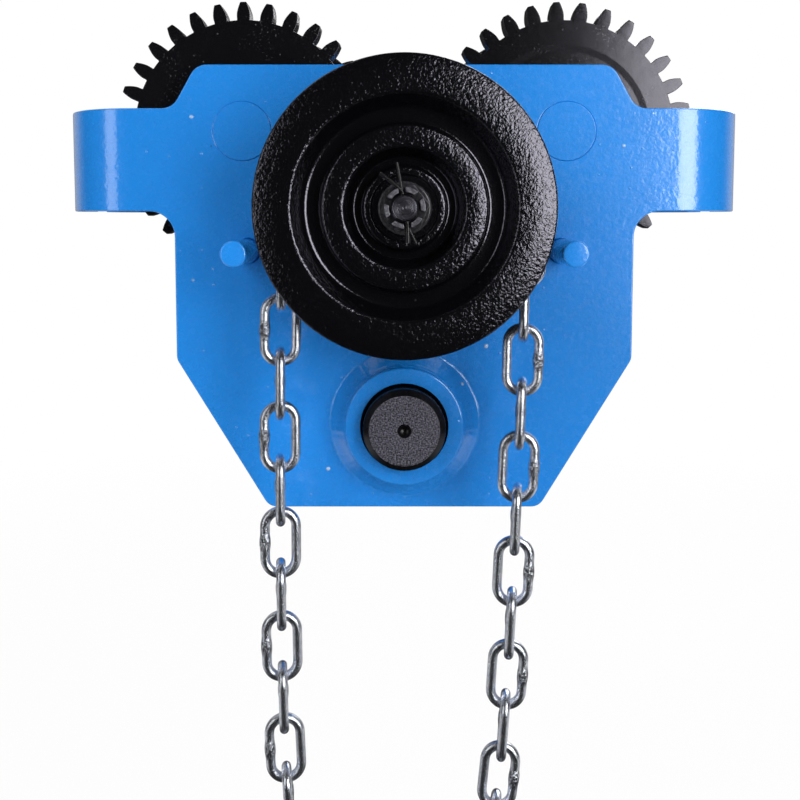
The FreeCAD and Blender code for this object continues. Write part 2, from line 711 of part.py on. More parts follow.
def load_bar():
    half = [
        ("bar_radius - hook_seat_depth", "hook_seat_half"),
        ("bar_radius", "hook_seat_half + hook_seat_depth"),
        ("bar_radius", "bar_end - bar_chamfer"),
        ("bar_radius - bar_chamfer", "bar_end"),
        ("bar_centre_hole", "bar_end"),
        ("0", "bar_end - bar_hole_depth"),
    ]
    other = [(radius, f"-({out})") for radius, out in reversed(half)]
    keep(place(turned("load_bar", half + other), "0", "bar_height"), "load_bar")


def guide_rods():
    for side, sign in SIDES:
        label = f"chain_guide_rod_{side}"
        rod = turned(label, [
            ("0", "plate_in"),
            ("rod_radius", "plate_in"),
            ("rod_radius", "rod_end - rod_edge"),
            ("rod_radius - rod_edge", "rod_end"),
            ("0", "rod_end"),
        ])
        keep(place(rod, f"{sign} * rod_half", "rod_height"), label)


# Hand drive: housing, bush, pinion shaft, hand wheel and its fastening

def shaft_bearing():
    housing = turned("shaft_housing", [
        ("bush_radius", "plate_in"),
        ("housing_radius", "plate_in"),
        ("housing_radius", "plate_out"),
        ("housing_radius + housing_rim", "plate_out"),
        ("housing_radius", "housing_end"),
        ("bush_radius", "housing_end"),
    ])
    keep(place(housing, "0", "shaft_height"), "shaft_housing")
    bush_bore = "shaft_radius + running_play"
    bush = turned("shaft_bush", [
        (bush_bore, "plate_in"),
        ("bush_radius", "plate_in"),
        ("bush_radius", "housing_end"),
        ("bush_radius + bush_flange", "housing_end"),
        ("bush_radius + bush_flange", "bush_end"),
        (bush_bore, "bush_end"),
    ])
    keep(place(bush, "0", "shaft_height"), "shaft_bush")
    washer = turned("thrust_washer", [
        (bush_bore, "gear_out"),
        ("thrust_radius", "gear_out"),
        ("thrust_radius", "plate_in - end_play"),
        (bush_bore, "plate_in - end_play"),
    ])
    keep(place(washer, "0", "shaft_height"), "thrust_washer")


def pinion_shaft():
    shaft = turned("pinion_shaft_turning", [
        ("0", "gear_in"),
        ("shaft_radius", "gear_in"),
        ("shaft_radius", "hub_in"),
        ("hub_seat_radius", "hub_in"),
        ("hub_seat_radius", "hub_out"),
        ("thread_radius", "hub_out"),
        ("thread_radius", "nut_out - thread_edge"),
        ("thread_radius - thread_edge", "nut_out"),
        ("0", "nut_out"),
    ])
    place(shaft, "0", "shaft_height")
    sizes = [size("pinion_" + name) for name in ("pitch", "root", "tip")]
    phase = math.radians(size("pinion_phase"))
    outline = gear_wire(int(size("pinion_teeth")), size("tooth_shift"), *sizes, phase)
    teeth = shaped("pinion_teeth", gear_solid(outline, 0), 0, size("shaft_height"))
    whole = boolean("Fuse", "pinion_shaft_blank", shaft, teeth)
    grooved = boolean("Cut", "pinion_shaft_keyed", whole, key_block("pinion_shaft_keyway"))
    hole = pin_hole("pinion_shaft_hole", "pin_radius + running_play")
    keep(boolean("Cut", "pinion_shaft", grooved, hole), "pinion_shaft")


def key_block(label):
    """Block of the key, standing in the shaft's top between hub and seat."""
    block = doc.addObject("Part::Box", label)
    block.setExpression("Length", expr("key_width"))
    block.setExpression("Width", expr("key_length"))
    block.setExpression("Height", expr("key_height"))
    block.setExpression("Placement.Base.x", expr("-key_width / 2"))
    block.setExpression("Placement.Base.y", expr("-(hub_in + hub_length / 2 + key_length / 2)"))
    block.setExpression("Placement.Base.z", expr("shaft_height + hub_seat_radius - key_depth"))
    return block


def pin_line(turn=0.0):
    """Direction of the split pin across the shaft, upwards."""
    angle = math.radians(90 + size("pin_turn")) + turn
    return FreeCAD.Vector(math.cos(angle), 0, math.sin(angle))


def pin_hole(label, radius):
    """Cylinder along the split pin, through the shaft and the castle."""
    reach = "2 * castle_radius"
    lean = f"{reach} * sin(pin_turn * 1 deg)"
    rise = f"{reach} * cos(pin_turn * 1 deg)"
    return cylinder(label, radius, f"2 * {reach}", lean, "-pin_station",
                    f"shaft_height - {rise}", pin_line())


def hand_wheel():
    body = turned("hand_wheel", [
        ("hub_seat_radius", "hub_in"),
        ("hub_radius", "hub_in"),
        ("hub_radius", "web_back"),
        ("web_rim", "web_back"),
        ("slot_radius - hub_edge", "rim_back + rim_thick"),
        ("seat_radius", "rim_back"),
        ("rim_radius - rim_edge", "rim_back"),
        ("rim_radius", "rim_back + rim_edge"),
        ("rim_radius", "chain_station - mouth_half - rim_edge / 2"),
        ("rim_radius - rim_edge", "chain_station - mouth_half"),
        ("seat_radius", "chain_station - groove_half"),
        ("seat_radius", "chain_station - slot_half"),
        ("slot_radius", "chain_station - slot_half"),
        ("slot_radius", "chain_station + slot_half"),
        ("seat_radius", "chain_station + slot_half"),
        ("seat_radius", "chain_station + groove_half"),
        ("rim_radius - rim_edge", "chain_station + mouth_half"),
        ("rim_radius", "chain_station + mouth_half + rim_edge / 2"),
        ("rim_radius", "rim_front - rim_edge"),
        ("rim_radius - rim_edge", "rim_front"),
        ("ring_inner + rim_edge", "rim_front"),
        ("ring_inner", "rim_front - rim_edge"),
        ("channel_outer", "channel_floor"),
        ("step_outer", "channel_floor"),
        ("step_outer", "step_face - rim_edge"),
        ("step_outer - rim_edge", "step_face"),
        ("step_inner + rim_edge", "step_face"),
        ("step_inner", "step_face - rim_edge"),
        ("dish_outer", "dish_floor"),
        ("hub_radius", "dish_floor"),
        ("hub_radius", "hub_out - hub_edge"),
        ("hub_radius - hub_edge", "hub_out"),
        ("hub_seat_radius", "hub_out"),
    ])
    pocket_outline = new_sketch(body, "chain_pocket", "XY_Plane", "seat_radius - pocket_depth")
    half_long = "(chain_pitch / 2 + chain_wire)"
    half_wide = "(link_width / 2 + chain_clear)"
    draw(pocket_outline, [
        (f"-{half_long}", f"-chain_station - {half_wide}"),
        (half_long, f"-chain_station - {half_wide}"),
        (half_long, f"-chain_station + {half_wide}"),
        (f"-{half_long}", f"-chain_station + {half_wide}"),
    ])
    first = pocket(body, pocket_outline, "2 * pocket_depth")
    doc.recompute()
    ring = body.newObject("PartDesign::PolarPattern", "chain_pockets")
    ring.Originals = [first]
    ring.Axis = (next(item for item in body.Origin.OriginFeatures if item.Role == "Y_Axis"), [""])
    ring.Angle = 360
    ring.setExpression("Occurrences", expr("pockets"))
    body.Tip = ring
    slot = new_sketch(body, "hub_keyway", "XY_Plane")
    draw(slot, [
        ("-key_width / 2", "-hub_out"),
        ("key_width / 2", "-hub_out"),
        ("key_width / 2", "-hub_in"),
        ("-key_width / 2", "-hub_in"),
    ])
    pocket(body, slot, "hub_seat_radius - key_depth + key_height")
    keep(place(body, "0", "shaft_height"), "hand_wheel")


def castle_nut():
    """Hexagon nut with a round slotted castle, on a plain bore."""
    hexagon = doc.addObject("Part::Prism", "nut_hexagon")
    hexagon.Polygon = 6
    hexagon.setExpression("Circumradius", expr("nut_flats / (2 * cos(30 deg))"))
    hexagon.setExpression("Height", expr("nut_height"))
    upright = FreeCAD.Rotation(TURN_ABOUT_Z, -ALONG_Y)
    hexagon.Placement = FreeCAD.Placement(FreeCAD.Vector(), upright)
    hexagon.setExpression("Placement.Base.y", expr("-washer_out"))
    hexagon.setExpression("Placement.Base.z", expr("shaft_height"))
    crown = cylinder("nut_castle", "castle_radius", "castle_height",
                     y="-hex_out", z="shaft_height", along=-ALONG_Y)
    solid = boolean("Fuse", "nut_blank", hexagon, crown)
    bore = cylinder("nut_bore", "thread_radius", "nut_out",
                    y="-hub_out", z="shaft_height", along=-ALONG_Y)
    bored = boolean("Cut", "nut_bored", solid, bore)
    cutter = shaped("nut_slots", Part.makeCompound(castle_slots()), 0, size("shaft_height"))
    keep(boolean("Cut", "castle_nut", bored, cutter), "castle_nut")


def castle_slots():
    """Blocks that cut the castle's slots, one pair of them in line with the split pin."""
    width = size("castle_slot")
    count = int(size("castle_slots"))
    slots = []
    for index in range(count):
        block = Part.makeBox(width, size("castle_height"), 2 * size("castle_radius"),
                             FreeCAD.Vector(-width / 2, -size("nut_out"), 0))
        block.rotate(FreeCAD.Vector(), ALONG_Y, -size("pin_turn") - 360 * index / count)
        slots.append(block)
    return slots


def split_pin():
    """Split pin across the castle: a straight shank with two bent legs at each end."""
    shaft = FreeCAD.Vector(0, -size("pin_station"), size("shaft_height"))
    half = size("thread_radius + pin_radius")
    shank = Part.makeCylinder(size("pin_radius"), 2 * half, shaft - pin_line() * half, pin_line())
    legs = []
    for end in (-1, 1):
        for side in (-1, 1):
            spread = side * math.radians(size("pin_spread"))
            start = shaft + pin_line() * (end * (half - size("pin_radius")))
            leg_way = pin_line(spread) * end
            legs.append(Part.makeCylinder(size("pin_leg"), size("pin_reach"), start, leg_way))
    keep(shaped("split_pin", shank.multiFuse(legs).removeSplitter()), "split_pin")


def hand_drive():
    shaft_bearing()
    pinion_shaft()
    keep(key_block("wheel_key"), "wheel_key")
    hand_wheel()
    washer = turned("nut_washer", [
        ("thread_radius + running_play", "hub_out"),
        ("washer_radius", "hub_out"),
        ("washer_radius", "washer_out"),
        ("thread_radius + running_play", "washer_out"),
    ])
    keep(place(washer, "0", "shaft_height"), "nut_washer")
    castle_nut()
    split_pin()


# Hand chain

def chain_link():
    """One link lying along X in the XZ plane."""
    wire = size("chain_wire") / 2
    crown = size("link_width") / 2 - wire
    straight = (size("chain_pitch") + size("link_play")) / 2 - (crown - wire)
    sides = [Part.makeCylinder(wire, 2 * straight, FreeCAD.Vector(-straight, 0, up), ALONG_X)
             for up in (-crown, crown)]
    crowns = []
    for end in (-1, 1):
        start = FreeCAD.Vector(end * straight, 0, end * crown)
        disc = Part.Face(Part.Wire(Part.makeCircle(wire, start, ALONG_X)))
        crowns.append(disc.revolve(FreeCAD.Vector(end * straight, 0, 0), ALONG_Y, 180))
    return sides[0].multiFuse(sides[1:] + crowns).removeSplitter()


def laid_links(spots, first_flat):
    """Links between neighbouring joints, flat in the wheel's plane and upright in turn."""
    links = []
    flat = first_flat
    for start, finish in zip(spots, spots[1:]):
        link = chain_link()
        if not flat:
            link.rotate(FreeCAD.Vector(), ALONG_X, 90)
        way = finish - start
        link.rotate(FreeCAD.Vector(), ALONG_Y, -math.degrees(math.atan2(way.z, way.x)))
        middle = (start + finish) / 2
        links.append(link.translated(middle))
        flat = not flat
    return Part.makeCompound(links)


def wheel_joints():
    """Joints of the chain over the hand wheel and down to both swing points, from left to right."""
    centre = FreeCAD.Vector(0, -size("chain_station"), size("shaft_height"))
    radius = size("chain_circle")
    pockets = int(size("pockets"))
    start = math.pi - math.radians(size("chain_turn"))
    over = []
    for index in range(pockets + 1):
        turn = start - math.pi * index / pockets
        over.append(centre + FreeCAD.Vector(radius * math.cos(turn), 0, radius * math.sin(turn)))
    lean = math.radians(size("chain_lean"))
    drop = FreeCAD.Vector(-math.sin(lean), 0, -math.cos(lean)) * size("chain_pitch")
    upper = int(size("upper_links"))
    left = [over[0] + drop * index for index in range(upper, 0, -1)]
    right = [over[-1] + drop * index for index in range(1, upper + 1)]
    return left + over + right


def bisect(function, low, high):
    """Root of a rising function."""
    for step in range(SOLVER_STEPS):
        middle = (low + high) / 2
        if function(middle) < 0:
            low = middle
        else:
            high = middle
    return (low + high) / 2


def loop_angles(slack, lowest):
    """Slope of each link of the loop: the more chain hangs below a link, the steeper it is."""
    count = int(size("loop_links"))
    pitch = size("chain_pitch")
    angles = []
    for index in range(count):
        along = (index - (count - 1) / 2) * pitch + lowest
        steep = math.atan((along / slack) ** 2)
        angles.append(math.copysign(steep, along) - math.radians(size("chain_lean")))
    return angles


def loop_joints(left, right):
    """Joints of the hanging loop between its two swing points."""
    pitch = size("chain_pitch")
    span = right.x - left.x
    rise = right.z - left.z

    def best_lowest(slack):
        return bisect(lambda low: pitch * sum(map(math.sin, loop_angles(slack, low))) - rise, -span, span)

    def too_wide(slack):
        return pitch * sum(map(math.cos, loop_angles(slack, best_lowest(slack)))) - span

    slack = bisect(too_wide, pitch / 10, pitch * 10)
    spots = [left]
    for angle in loop_angles(slack, best_lowest(slack)):
        spots.append(spots[-1] + FreeCAD.Vector(math.cos(angle), 0, math.sin(angle)) * pitch)
    return spots


def hand_chain():
    joints = wheel_joints()
    keep(shaped("hand_chain_on_wheel", laid_links(joints, True)), "hand_chain_on_wheel")
    loop = loop_joints(joints[0], joints[-1])
    keep(shaped("hand_chain_loop", laid_links(loop, False)), "hand_chain_loop")
    reach = (size("chain_wire") + size("link_play")) / 2
    for name, end, before in (("left", joints[0], joints[1]), ("right", joints[-1], joints[-2])):
        swing = end + (end - before).normalize() * reach
        print(f"chain swing point {name}: {swing.x:.4f} {swing.y:.4f} {swing.z:.4f}")


trolley_wheels()
side_plate("front_side_plate", back=False)
side_plate("rear_side_plate", back=True)
boss("front_boss", back=False)
boss("rear_boss", back=True)
load_bar()
guide_rods()
hand_drive()
hand_chain()
doc.recompute()

faults = [item.Name for item in doc.Objects if "Invalid" in item.State or "Error" in item.State]
faults += [item.Label for item in subparts if item.Shape.isNull() or not item.Shape.isValid()]
if faults:
    raise RuntimeError("not built: " + ", ".join(faults))
os.makedirs("parts", exist_ok=True)
for item in subparts:
    item.Shape.exportStep(f"parts/{item.Label}.step")
    print(f"{item.Label}: {len(item.Shape.Solids)} solids, {item.Shape.Volume:.1f} mm3")
print(f"shaft height {size('shaft_height'):.4f}, chain circle {size('chain_circle'):.4f}")
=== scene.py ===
import math

import bmesh
import bpy
import numpy as np
from mathutils import Matrix, Vector


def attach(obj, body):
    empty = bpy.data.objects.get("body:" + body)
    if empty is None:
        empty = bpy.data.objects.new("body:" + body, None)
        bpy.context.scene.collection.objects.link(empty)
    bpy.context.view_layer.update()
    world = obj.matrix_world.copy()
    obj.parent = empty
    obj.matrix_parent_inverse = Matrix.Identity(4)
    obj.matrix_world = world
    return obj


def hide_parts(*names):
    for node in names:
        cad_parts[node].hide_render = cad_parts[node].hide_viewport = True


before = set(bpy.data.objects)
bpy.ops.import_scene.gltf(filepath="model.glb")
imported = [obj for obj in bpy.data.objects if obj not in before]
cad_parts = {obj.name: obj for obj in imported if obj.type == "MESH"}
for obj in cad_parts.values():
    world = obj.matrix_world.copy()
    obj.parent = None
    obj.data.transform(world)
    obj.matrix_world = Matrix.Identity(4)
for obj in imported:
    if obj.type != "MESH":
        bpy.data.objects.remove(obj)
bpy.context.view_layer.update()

# Geared beam trolley. X runs along the beam, Y across it with the hand wheel at -Y, Z up.
# Profiles are in millimetres: radius from the piece's axis, distance out from the middle plane, rounding.

MM = 0.001
WHEEL_X = 79.4
WHEEL_Z = 41.0
SHAFT_Z = 3.06
BAR_Z = -103.0
PLATE_OUT = 69.0
SIDES = (("left", -1), ("right", 1))
ENDS = (("front", "drive_frame", False), ("rear", "idler_frame", True))
TURNS = 120
TINY = 1e-6
# Share of an edge that the rounding at one of its ends may take.
EDGE_SHARE = 0.48
# Angles in degrees: faces nearer to flat are joined, and sharper edges are eased.
FLAT_LIMIT = 0.3
EDGE_LIMIT = 28.0


# Meshes

def rounded(corners, steps=5):
    """Profile points, with each corner (radius, out, rounding) of a closed outline made an arc."""
    points = []
    for index, (radius, out, rounding) in enumerate(corners):
        here = Vector((radius, out))
        if not rounding:
            points.append(here)
            continue
        before = Vector(corners[index - 1][:2]) - here
        after = Vector(corners[(index + 1) % len(corners)][:2]) - here
        half = before.angle(after) / 2
        reach = min(rounding / math.tan(half), before.length * EDGE_SHARE, after.length * EDGE_SHARE)
        bend = reach * math.tan(half)
        middle = (before.normalized() + after.normalized()).normalized()
        centre = here + middle * (bend / math.sin(half))
        start = here + before.normalized() * reach - centre
        finish = here + after.normalized() * reach - centre
        first = math.atan2(start.y, start.x)
        sweep = math.atan2(finish.y, finish.x) - first
        sweep = (sweep + math.pi) % (2 * math.pi) - math.pi
        for step in range(steps + 1):
            turn = first + sweep * step / steps
            points.append(centre + Vector((math.cos(turn), math.sin(turn))) * bend)
    return points


def lathe(points, x=0.0, z=0.0, back=False, turns=TURNS, radius_at=None):
    """Mesh of a closed profile turned about an axis along Y; radius_at may vary a ring by angle."""
    form = bmesh.new()
    side = 1 if back else -1
    rings = []
    for radius, out in points:
        if radius < TINY:
            rings.append([form.verts.new((x * MM, side * out * MM, z * MM))] * turns)
            continue
        ring = []
        for index in range(turns):
            turn = 2 * math.pi * index / turns
            reach = radius_at(radius, out, turn) if radius_at else radius
            spot = (x + reach * math.cos(turn), side * out, z + reach * math.sin(turn))
            ring.append(form.verts.new(Vector(spot) * MM))
        rings.append(ring)
    for index, ring in enumerate(rings):
        following = rings[(index + 1) % len(rings)]
        for step in range(turns):
            after = (step + 1) % turns
            corners = [ring[step], ring[after], following[after], following[step]]
            corners = list(dict.fromkeys(corners))
            if len(corners) > 2:
                form.faces.new(corners)
    bmesh.ops.recalc_face_normals(form, faces=form.faces)
    return to_mesh(form)


def to_mesh(form):
    mesh = bpy.data.meshes.new("piece")
    form.to_mesh(mesh)
    form.free()
    return mesh


def merged_copy(node):
    """Copy of a CAD node's mesh with its loose triangles joined up."""
    form = bmesh.new()
    form.from_mesh(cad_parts[node].data)
    bmesh.ops.remove_doubles(form, verts=form.verts, dist=TINY)
    return form


def evaluated(obj):
    """Plain mesh of an object with its modifiers worked in; the object goes."""
    graph = bpy.context.evaluated_depsgraph_get()
    mesh = bpy.data.meshes.new_from_object(obj.evaluated_get(graph))
    bpy.data.objects.remove(obj)
    return mesh


def shown(name, data):
    obj = bpy.data.objects.new(name, data)
    bpy.context.scene.collection.objects.link(obj)
    return obj


def eased(obj, edge, segments=2):
    """Mesh of an object with its sharp edges rounded off; the object goes."""
    bevel = obj.modifiers.new("edges", "BEVEL")
    bevel.width = edge * MM
    bevel.segments = segments
    bevel.limit_method = "ANGLE"
    bevel.angle_limit = math.radians(EDGE_LIMIT)
    bevel.use_clamp_overlap = True
    return evaluated(obj)


def eased_copy(node, edge, segments=2):
    """Copy of a CAD node with its flat faces joined and its edges eased."""
    form = merged_copy(node)
    flat = math.radians(FLAT_LIMIT)
    bmesh.ops.dissolve_limit(form, angle_limit=flat, verts=form.verts, edges=form.edges)
    return eased(shown(node + "_copy", to_mesh(form)), edge, segments)


def weighted(obj):
    """Lets large flat faces keep their own normals beside eased edges."""
    normals = obj.modifiers.new("normals", "WEIGHTED_NORMAL")
    normals.keep_sharp = True
    return obj


def add_piece(name, mesh, finish, body, nodes=(), sharp=40.0):
    """Puts a finished mesh on its CAD body, in place of the nodes it stands for."""
    mesh.materials.clear()
    mesh.materials.append(finish)
    mesh.polygons.foreach_set("use_smooth", [True] * len(mesh.polygons))
    mesh.set_sharp_from_angle(angle=math.radians(sharp))
    obj = shown(name, mesh)
    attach(obj, body)
    if nodes:
        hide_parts(*nodes)
    return obj


# Node trees

def grown(mesh, tree, values):
    """Plain mesh that a node tree makes from a mesh, with the tree's inputs set by name."""
    obj = shown("grown", mesh)
    growth = obj.modifiers.new("growth", "NODES")
    growth.node_group = tree
    for item in tree.interface.items_tree:
        if item.in_out == "INPUT" and item.name in values:
            growth[item.identifier] = values[item.name]
    return evaluated(obj)


def new_tree(name, source, values, result):
    """Geometry tree with a mesh in, numbers in and a mesh out, and the sockets of its inputs."""
    tree = bpy.data.node_groups.new(name, "GeometryNodeTree")
    face = tree.interface
    face.new_socket(source, in_out="INPUT", socket_type="NodeSocketGeometry")
    for value in values:
        face.new_socket(value, in_out="INPUT", socket_type="NodeSocketFloat")
    face.new_socket(result, in_out="OUTPUT", socket_type="NodeSocketGeometry")
    return tree, tree.nodes.new("NodeGroupInput").outputs


def end_tree(tree, geometry, material):
    """Ends a geometry tree with a plain mesh in one material."""
    real = add_node(tree, "GeometryNodeRealizeInstances", {"Geometry": geometry})
    dressed = add_node(tree, "GeometryNodeSetMaterial", {"Geometry": real.outputs[0], "Material": material})
    tree.links.new(dressed.outputs[0], tree.nodes.new("NodeGroupOutput").inputs[0])


def plug(tree, socket, value):
    """Sets a socket to a value or links it to another socket."""
    if isinstance(value, bpy.types.NodeSocket):
        tree.links.new(value, socket)
    else:
        socket.default_value = value


def add_node(tree, kind, inputs=None, **settings):
    """Node with its settings, and with each input set to a value or linked to a socket."""
    node = tree.nodes.new(kind)
    for key, value in settings.items():
        setattr(node, key, value)
    for key, value in (inputs or {}).items():
        plug(tree, node.inputs[key], value)
    return node


def calc(tree, operation, first, second=0.0):
    """One step of arithmetic on sockets or numbers."""
    return add_node(tree, "ShaderNodeMath", {0: first, 1: second}, operation=operation).outputs[0]


def product(tree, first, *others):
    """Product of several sockets or numbers."""
    for other in others:
        first = calc(tree, "MULTIPLY", first, other)
    return first


def scaled(tree, vector, factor):
    """A vector made longer or shorter."""
    inputs = {0: vector, "Scale": factor}
    return add_node(tree, "ShaderNodeVectorMath", inputs, operation="SCALE").outputs[0]


def length_of(tree, vector):
    return add_node(tree, "ShaderNodeVectorMath", {0: vector}, operation="LENGTH").outputs["Value"]


def spread(tree, value, low, high, to_low=0.0, to_high=1.0):
    """A value stretched from one range to another and held inside it."""
    inputs = {0: value, 1: low, 2: high, 3: to_low, 4: to_high}
    return add_node(tree, "ShaderNodeMapRange", inputs, clamp=True).outputs[0]


def noise(tree, place, scale, detail=2.0, roughness=0.5):
    inputs = {"Vector": place, "Scale": scale, "Detail": detail, "Roughness": roughness}
    return add_node(tree, "ShaderNodeTexNoise", inputs).outputs[0]


def tint(tree, share, first, second):
    """Mix of two colours by a share."""
    inputs = {0: share, 6: first, 7: second}
    return add_node(tree, "ShaderNodeMix", inputs, data_type="RGBA").outputs[2]


def bump(tree, height, depth, before=None, strength=1.0):
    """Relief of a given depth in metres, on top of the relief before it."""
    inputs = {"Strength": strength, "Distance": depth, "Height": height}
    if before:
        inputs["Normal"] = before
    return add_node(tree, "ShaderNodeBump", inputs).outputs[0]


def specks(tree, place, scale, share, radius):
    """Sparse round specks: 1 at the middle of a few cells, 0 elsewhere."""
    cells = add_node(tree, "ShaderNodeTexVoronoi", {"Vector": place, "Scale": scale})
    chosen = add_node(tree, "ShaderNodeSeparateColor", {0: cells.outputs["Color"]}).outputs[0]
    picked = calc(tree, "LESS_THAN", chosen, share)
    round_spot = spread(tree, cells.outputs["Distance"], radius, radius * 0.4)
    return calc(tree, "MULTIPLY", picked, round_spot)


def finish(name):
    """New material with its tree, its shader and the piece's own coordinates."""
    made = bpy.data.materials.new(name)
    made.use_nodes = True
    tree = made.node_tree
    place = add_node(tree, "ShaderNodeTexCoord").outputs["Object"]
    return made, tree, tree.nodes["Principled BSDF"], place


def give(tree, shader, **sockets):
    """Sets or links the shader's sockets, named with _ for a space."""
    for key, value in sockets.items():
        plug(tree, shader.inputs[key.replace("_", " ")], value)


# Finishes

def blue_enamel():
    """Thick gloss enamel with orange peel, dust nibs tinted paler as a painted glint, and a few small
    chips.
    """
    made, tree, shader, place = finish("blue_enamel")
    cloud = noise(tree, place, 9.0, 3.0)
    grain = noise(tree, place, 260.0, 3.0, 0.6)
    deep = (0.010, 0.214, 0.670, 1)
    light = (0.013, 0.248, 0.765, 1)
    nib_glint_tint = (0.35, 0.55, 0.85, 1)
    primer = (0.62, 0.66, 0.66, 1)
    soot_black = (0.012, 0.020, 0.035, 1)
    blue = tint(tree, spread(tree, cloud, 0.35, 0.65), deep, light)
    # Dust nibs are raised, and their paler tint is a painted glint on them.
    nibs = specks(tree, place, scale=190.0, share=0.16, radius=0.13)
    chips = specks(tree, place, scale=75.0, share=0.22, radius=0.09)
    soot = specks(tree, place, scale=95.0, share=0.03, radius=0.07)
    for spots, cover, colour in ((nibs, 0.12, nib_glint_tint), (chips, 0.75, primer), (soot, 0.85, soot_black)):
        blue = tint(tree, calc(tree, "MULTIPLY", spots, cover), blue, colour)
    relief = bump(tree, noise(tree, place, 720.0, 2.0), 0.00012, strength=0.6)
    relief = bump(tree, noise(tree, place, 300.0, 1.0), 0.00014, relief, 0.5)
    relief = bump(tree, nibs, 0.00016, relief)
    relief = bump(tree, chips, 0.00030, relief)
    give(tree, shader, Base_Color=blue, Roughness=spread(tree, grain, 0.3, 0.7, 0.20, 0.32),
         Normal=relief, Coat_Weight=1.0, Coat_Roughness=0.09, Coat_IOR=1.6, Coat_Normal=relief)
    return made


def black_casting():
    """Gloss black paint over a casting, with a coarse skin on its raised faces."""
    made, tree, shader, place = finish("black_casting")
    out = calc(tree, "MULTIPLY", add_node(tree, "ShaderNodeSeparateXYZ", {0: place}).outputs[1], -1.0)
    raised = spread(tree, out, low=0.1146, high=0.1166, to_low=0.25, to_high=1.0)
    fine = noise(tree, place, 1500.0, 2.0, 0.5)
    sway = calc(tree, "MULTIPLY", noise(tree, place, 600.0), 0.0025)
    bent = add_node(tree, "ShaderNodeVectorMath", {0: place, 1: sway}).outputs[0]
    grid = {"Vector": bent, "Scale": 600.0}
    cells = add_node(tree, "ShaderNodeTexVoronoi", grid, feature="DISTANCE_TO_EDGE")
    leather = calc(tree, "MULTIPLY", spread(tree, cells.outputs["Distance"], 0.0, 0.4), 0.22)
    coarse = calc(tree, "ADD", noise(tree, place, 490.0, 2.0, 0.5), leather)
    relief = bump(tree, calc(tree, "MULTIPLY", coarse, raised), 0.00038, strength=0.8)
    relief = bump(tree, fine, 0.00003, relief, 0.5)
    dust = specks(tree, place, scale=210.0, share=0.06, radius=0.14)
    paint = (0.0020, 0.0020, 0.0028, 1)
    dusty = (0.25, 0.25, 0.26, 1)
    black = tint(tree, calc(tree, "MULTIPLY", dust, 0.10), paint, dusty)
    give(tree, shader, Base_Color=black, Roughness=spread(tree, fine, 0.3, 0.7, 0.12, 0.17),
         Normal=relief, Specular_IOR_Level=0.95, Specular_Tint=(0.88, 0.86, 1, 1))
    return made


def black_gear_paint():
    """Thin black paint on a cut gear, with dust lying in it."""
    made, tree, shader, place = finish("black_gear_paint")
    cloud = spread(tree, noise(tree, place, 38.0, 4.0, 0.65), 0.52, 0.70)
    fine = noise(tree, place, 900.0, 3.0, 0.6)
    dust = calc(tree, "MULTIPLY", cloud, spread(tree, fine, 0.60, 0.70))
    grit = specks(tree, place, scale=420.0, share=0.12, radius=0.22)
    dust = calc(tree, "MAXIMUM", calc(tree, "MULTIPLY", dust, 0.45), calc(tree, "MULTIPLY", grit, 0.30))
    paint = (0.0030, 0.0030, 0.0038, 1)
    dusty = (0.22, 0.22, 0.23, 1)
    black = tint(tree, dust, paint, dusty)
    relief = bump(tree, noise(tree, place, 200.0, 2.0), 0.00010, strength=0.4)
    give(tree, shader, Base_Color=black, Roughness=spread(tree, fine, 0.3, 0.7, 0.19, 0.25),
         Normal=relief, Specular_IOR_Level=0.7, Specular_Tint=(0.9, 0.88, 1, 1))
    return made


def zinc_plate():
    """Bright zinc on bent and welded wire, pitted and drawn."""
    made, tree, shader, place = finish("zinc_plate")
    cloud = noise(tree, place, 260.0, 3.0, 0.6)
    pits = noise(tree, place, 1800.0, 3.0, 0.65)
    dull = (0.72, 0.75, 0.85, 1)
    bright = (0.92, 0.95, 1.0, 1)
    pit_grey = (0.06, 0.06, 0.08, 1)
    scale_black = (0.020, 0.020, 0.026, 1)
    zinc = tint(tree, spread(tree, cloud, 0.35, 0.65), dull, bright)
    zinc = tint(tree, spread(tree, pits, 0.44, 0.34), zinc, pit_grey)
    relief = bump(tree, pits, 0.00018, strength=0.8)
    relief = bump(tree, cloud, 0.00028, relief, 0.5)
    weld = add_node(tree, "ShaderNodeAttribute", attribute_name="weld").outputs["Fac"]
    slag = noise(tree, place, 950.0, 3.0, 0.7)
    scar = calc(tree, "MULTIPLY", weld, spread(tree, slag, 0.44, 0.54))
    zinc = tint(tree, calc(tree, "MULTIPLY", scar, 0.85), zinc, scale_black)
    relief = bump(tree, calc(tree, "MULTIPLY", slag, weld), 0.00080, relief, 0.8)
    give(tree, shader, Base_Color=zinc, Metallic=0.98, Normal=relief,
         Roughness=spread(tree, pits, 0.3, 0.7, 0.30, 0.14))
    return made


def black_oxide(name, grain_scale, grain_depth, dark, pale, roughness):
    """Blackened steel with a sandy grain of some scale."""
    made, tree, shader, place = finish(name)
    grain = noise(tree, place, grain_scale, 3.0, 0.65)
    cloud = noise(tree, place, 60.0, 3.0)
    sand = spread(tree, grain, 0.42, 0.66)
    grey = tint(tree, sand, (*dark, 1), (*pale, 1))
    relief = bump(tree, grain, grain_depth, strength=0.8)
    relief = bump(tree, cloud, 0.0002, relief, 0.25)
    give(tree, shader, Base_Color=grey, Metallic=0.35, Normal=relief,
         Roughness=spread(tree, cloud, 0.3, 0.7, roughness - 0.06, roughness + 0.08))
    return made


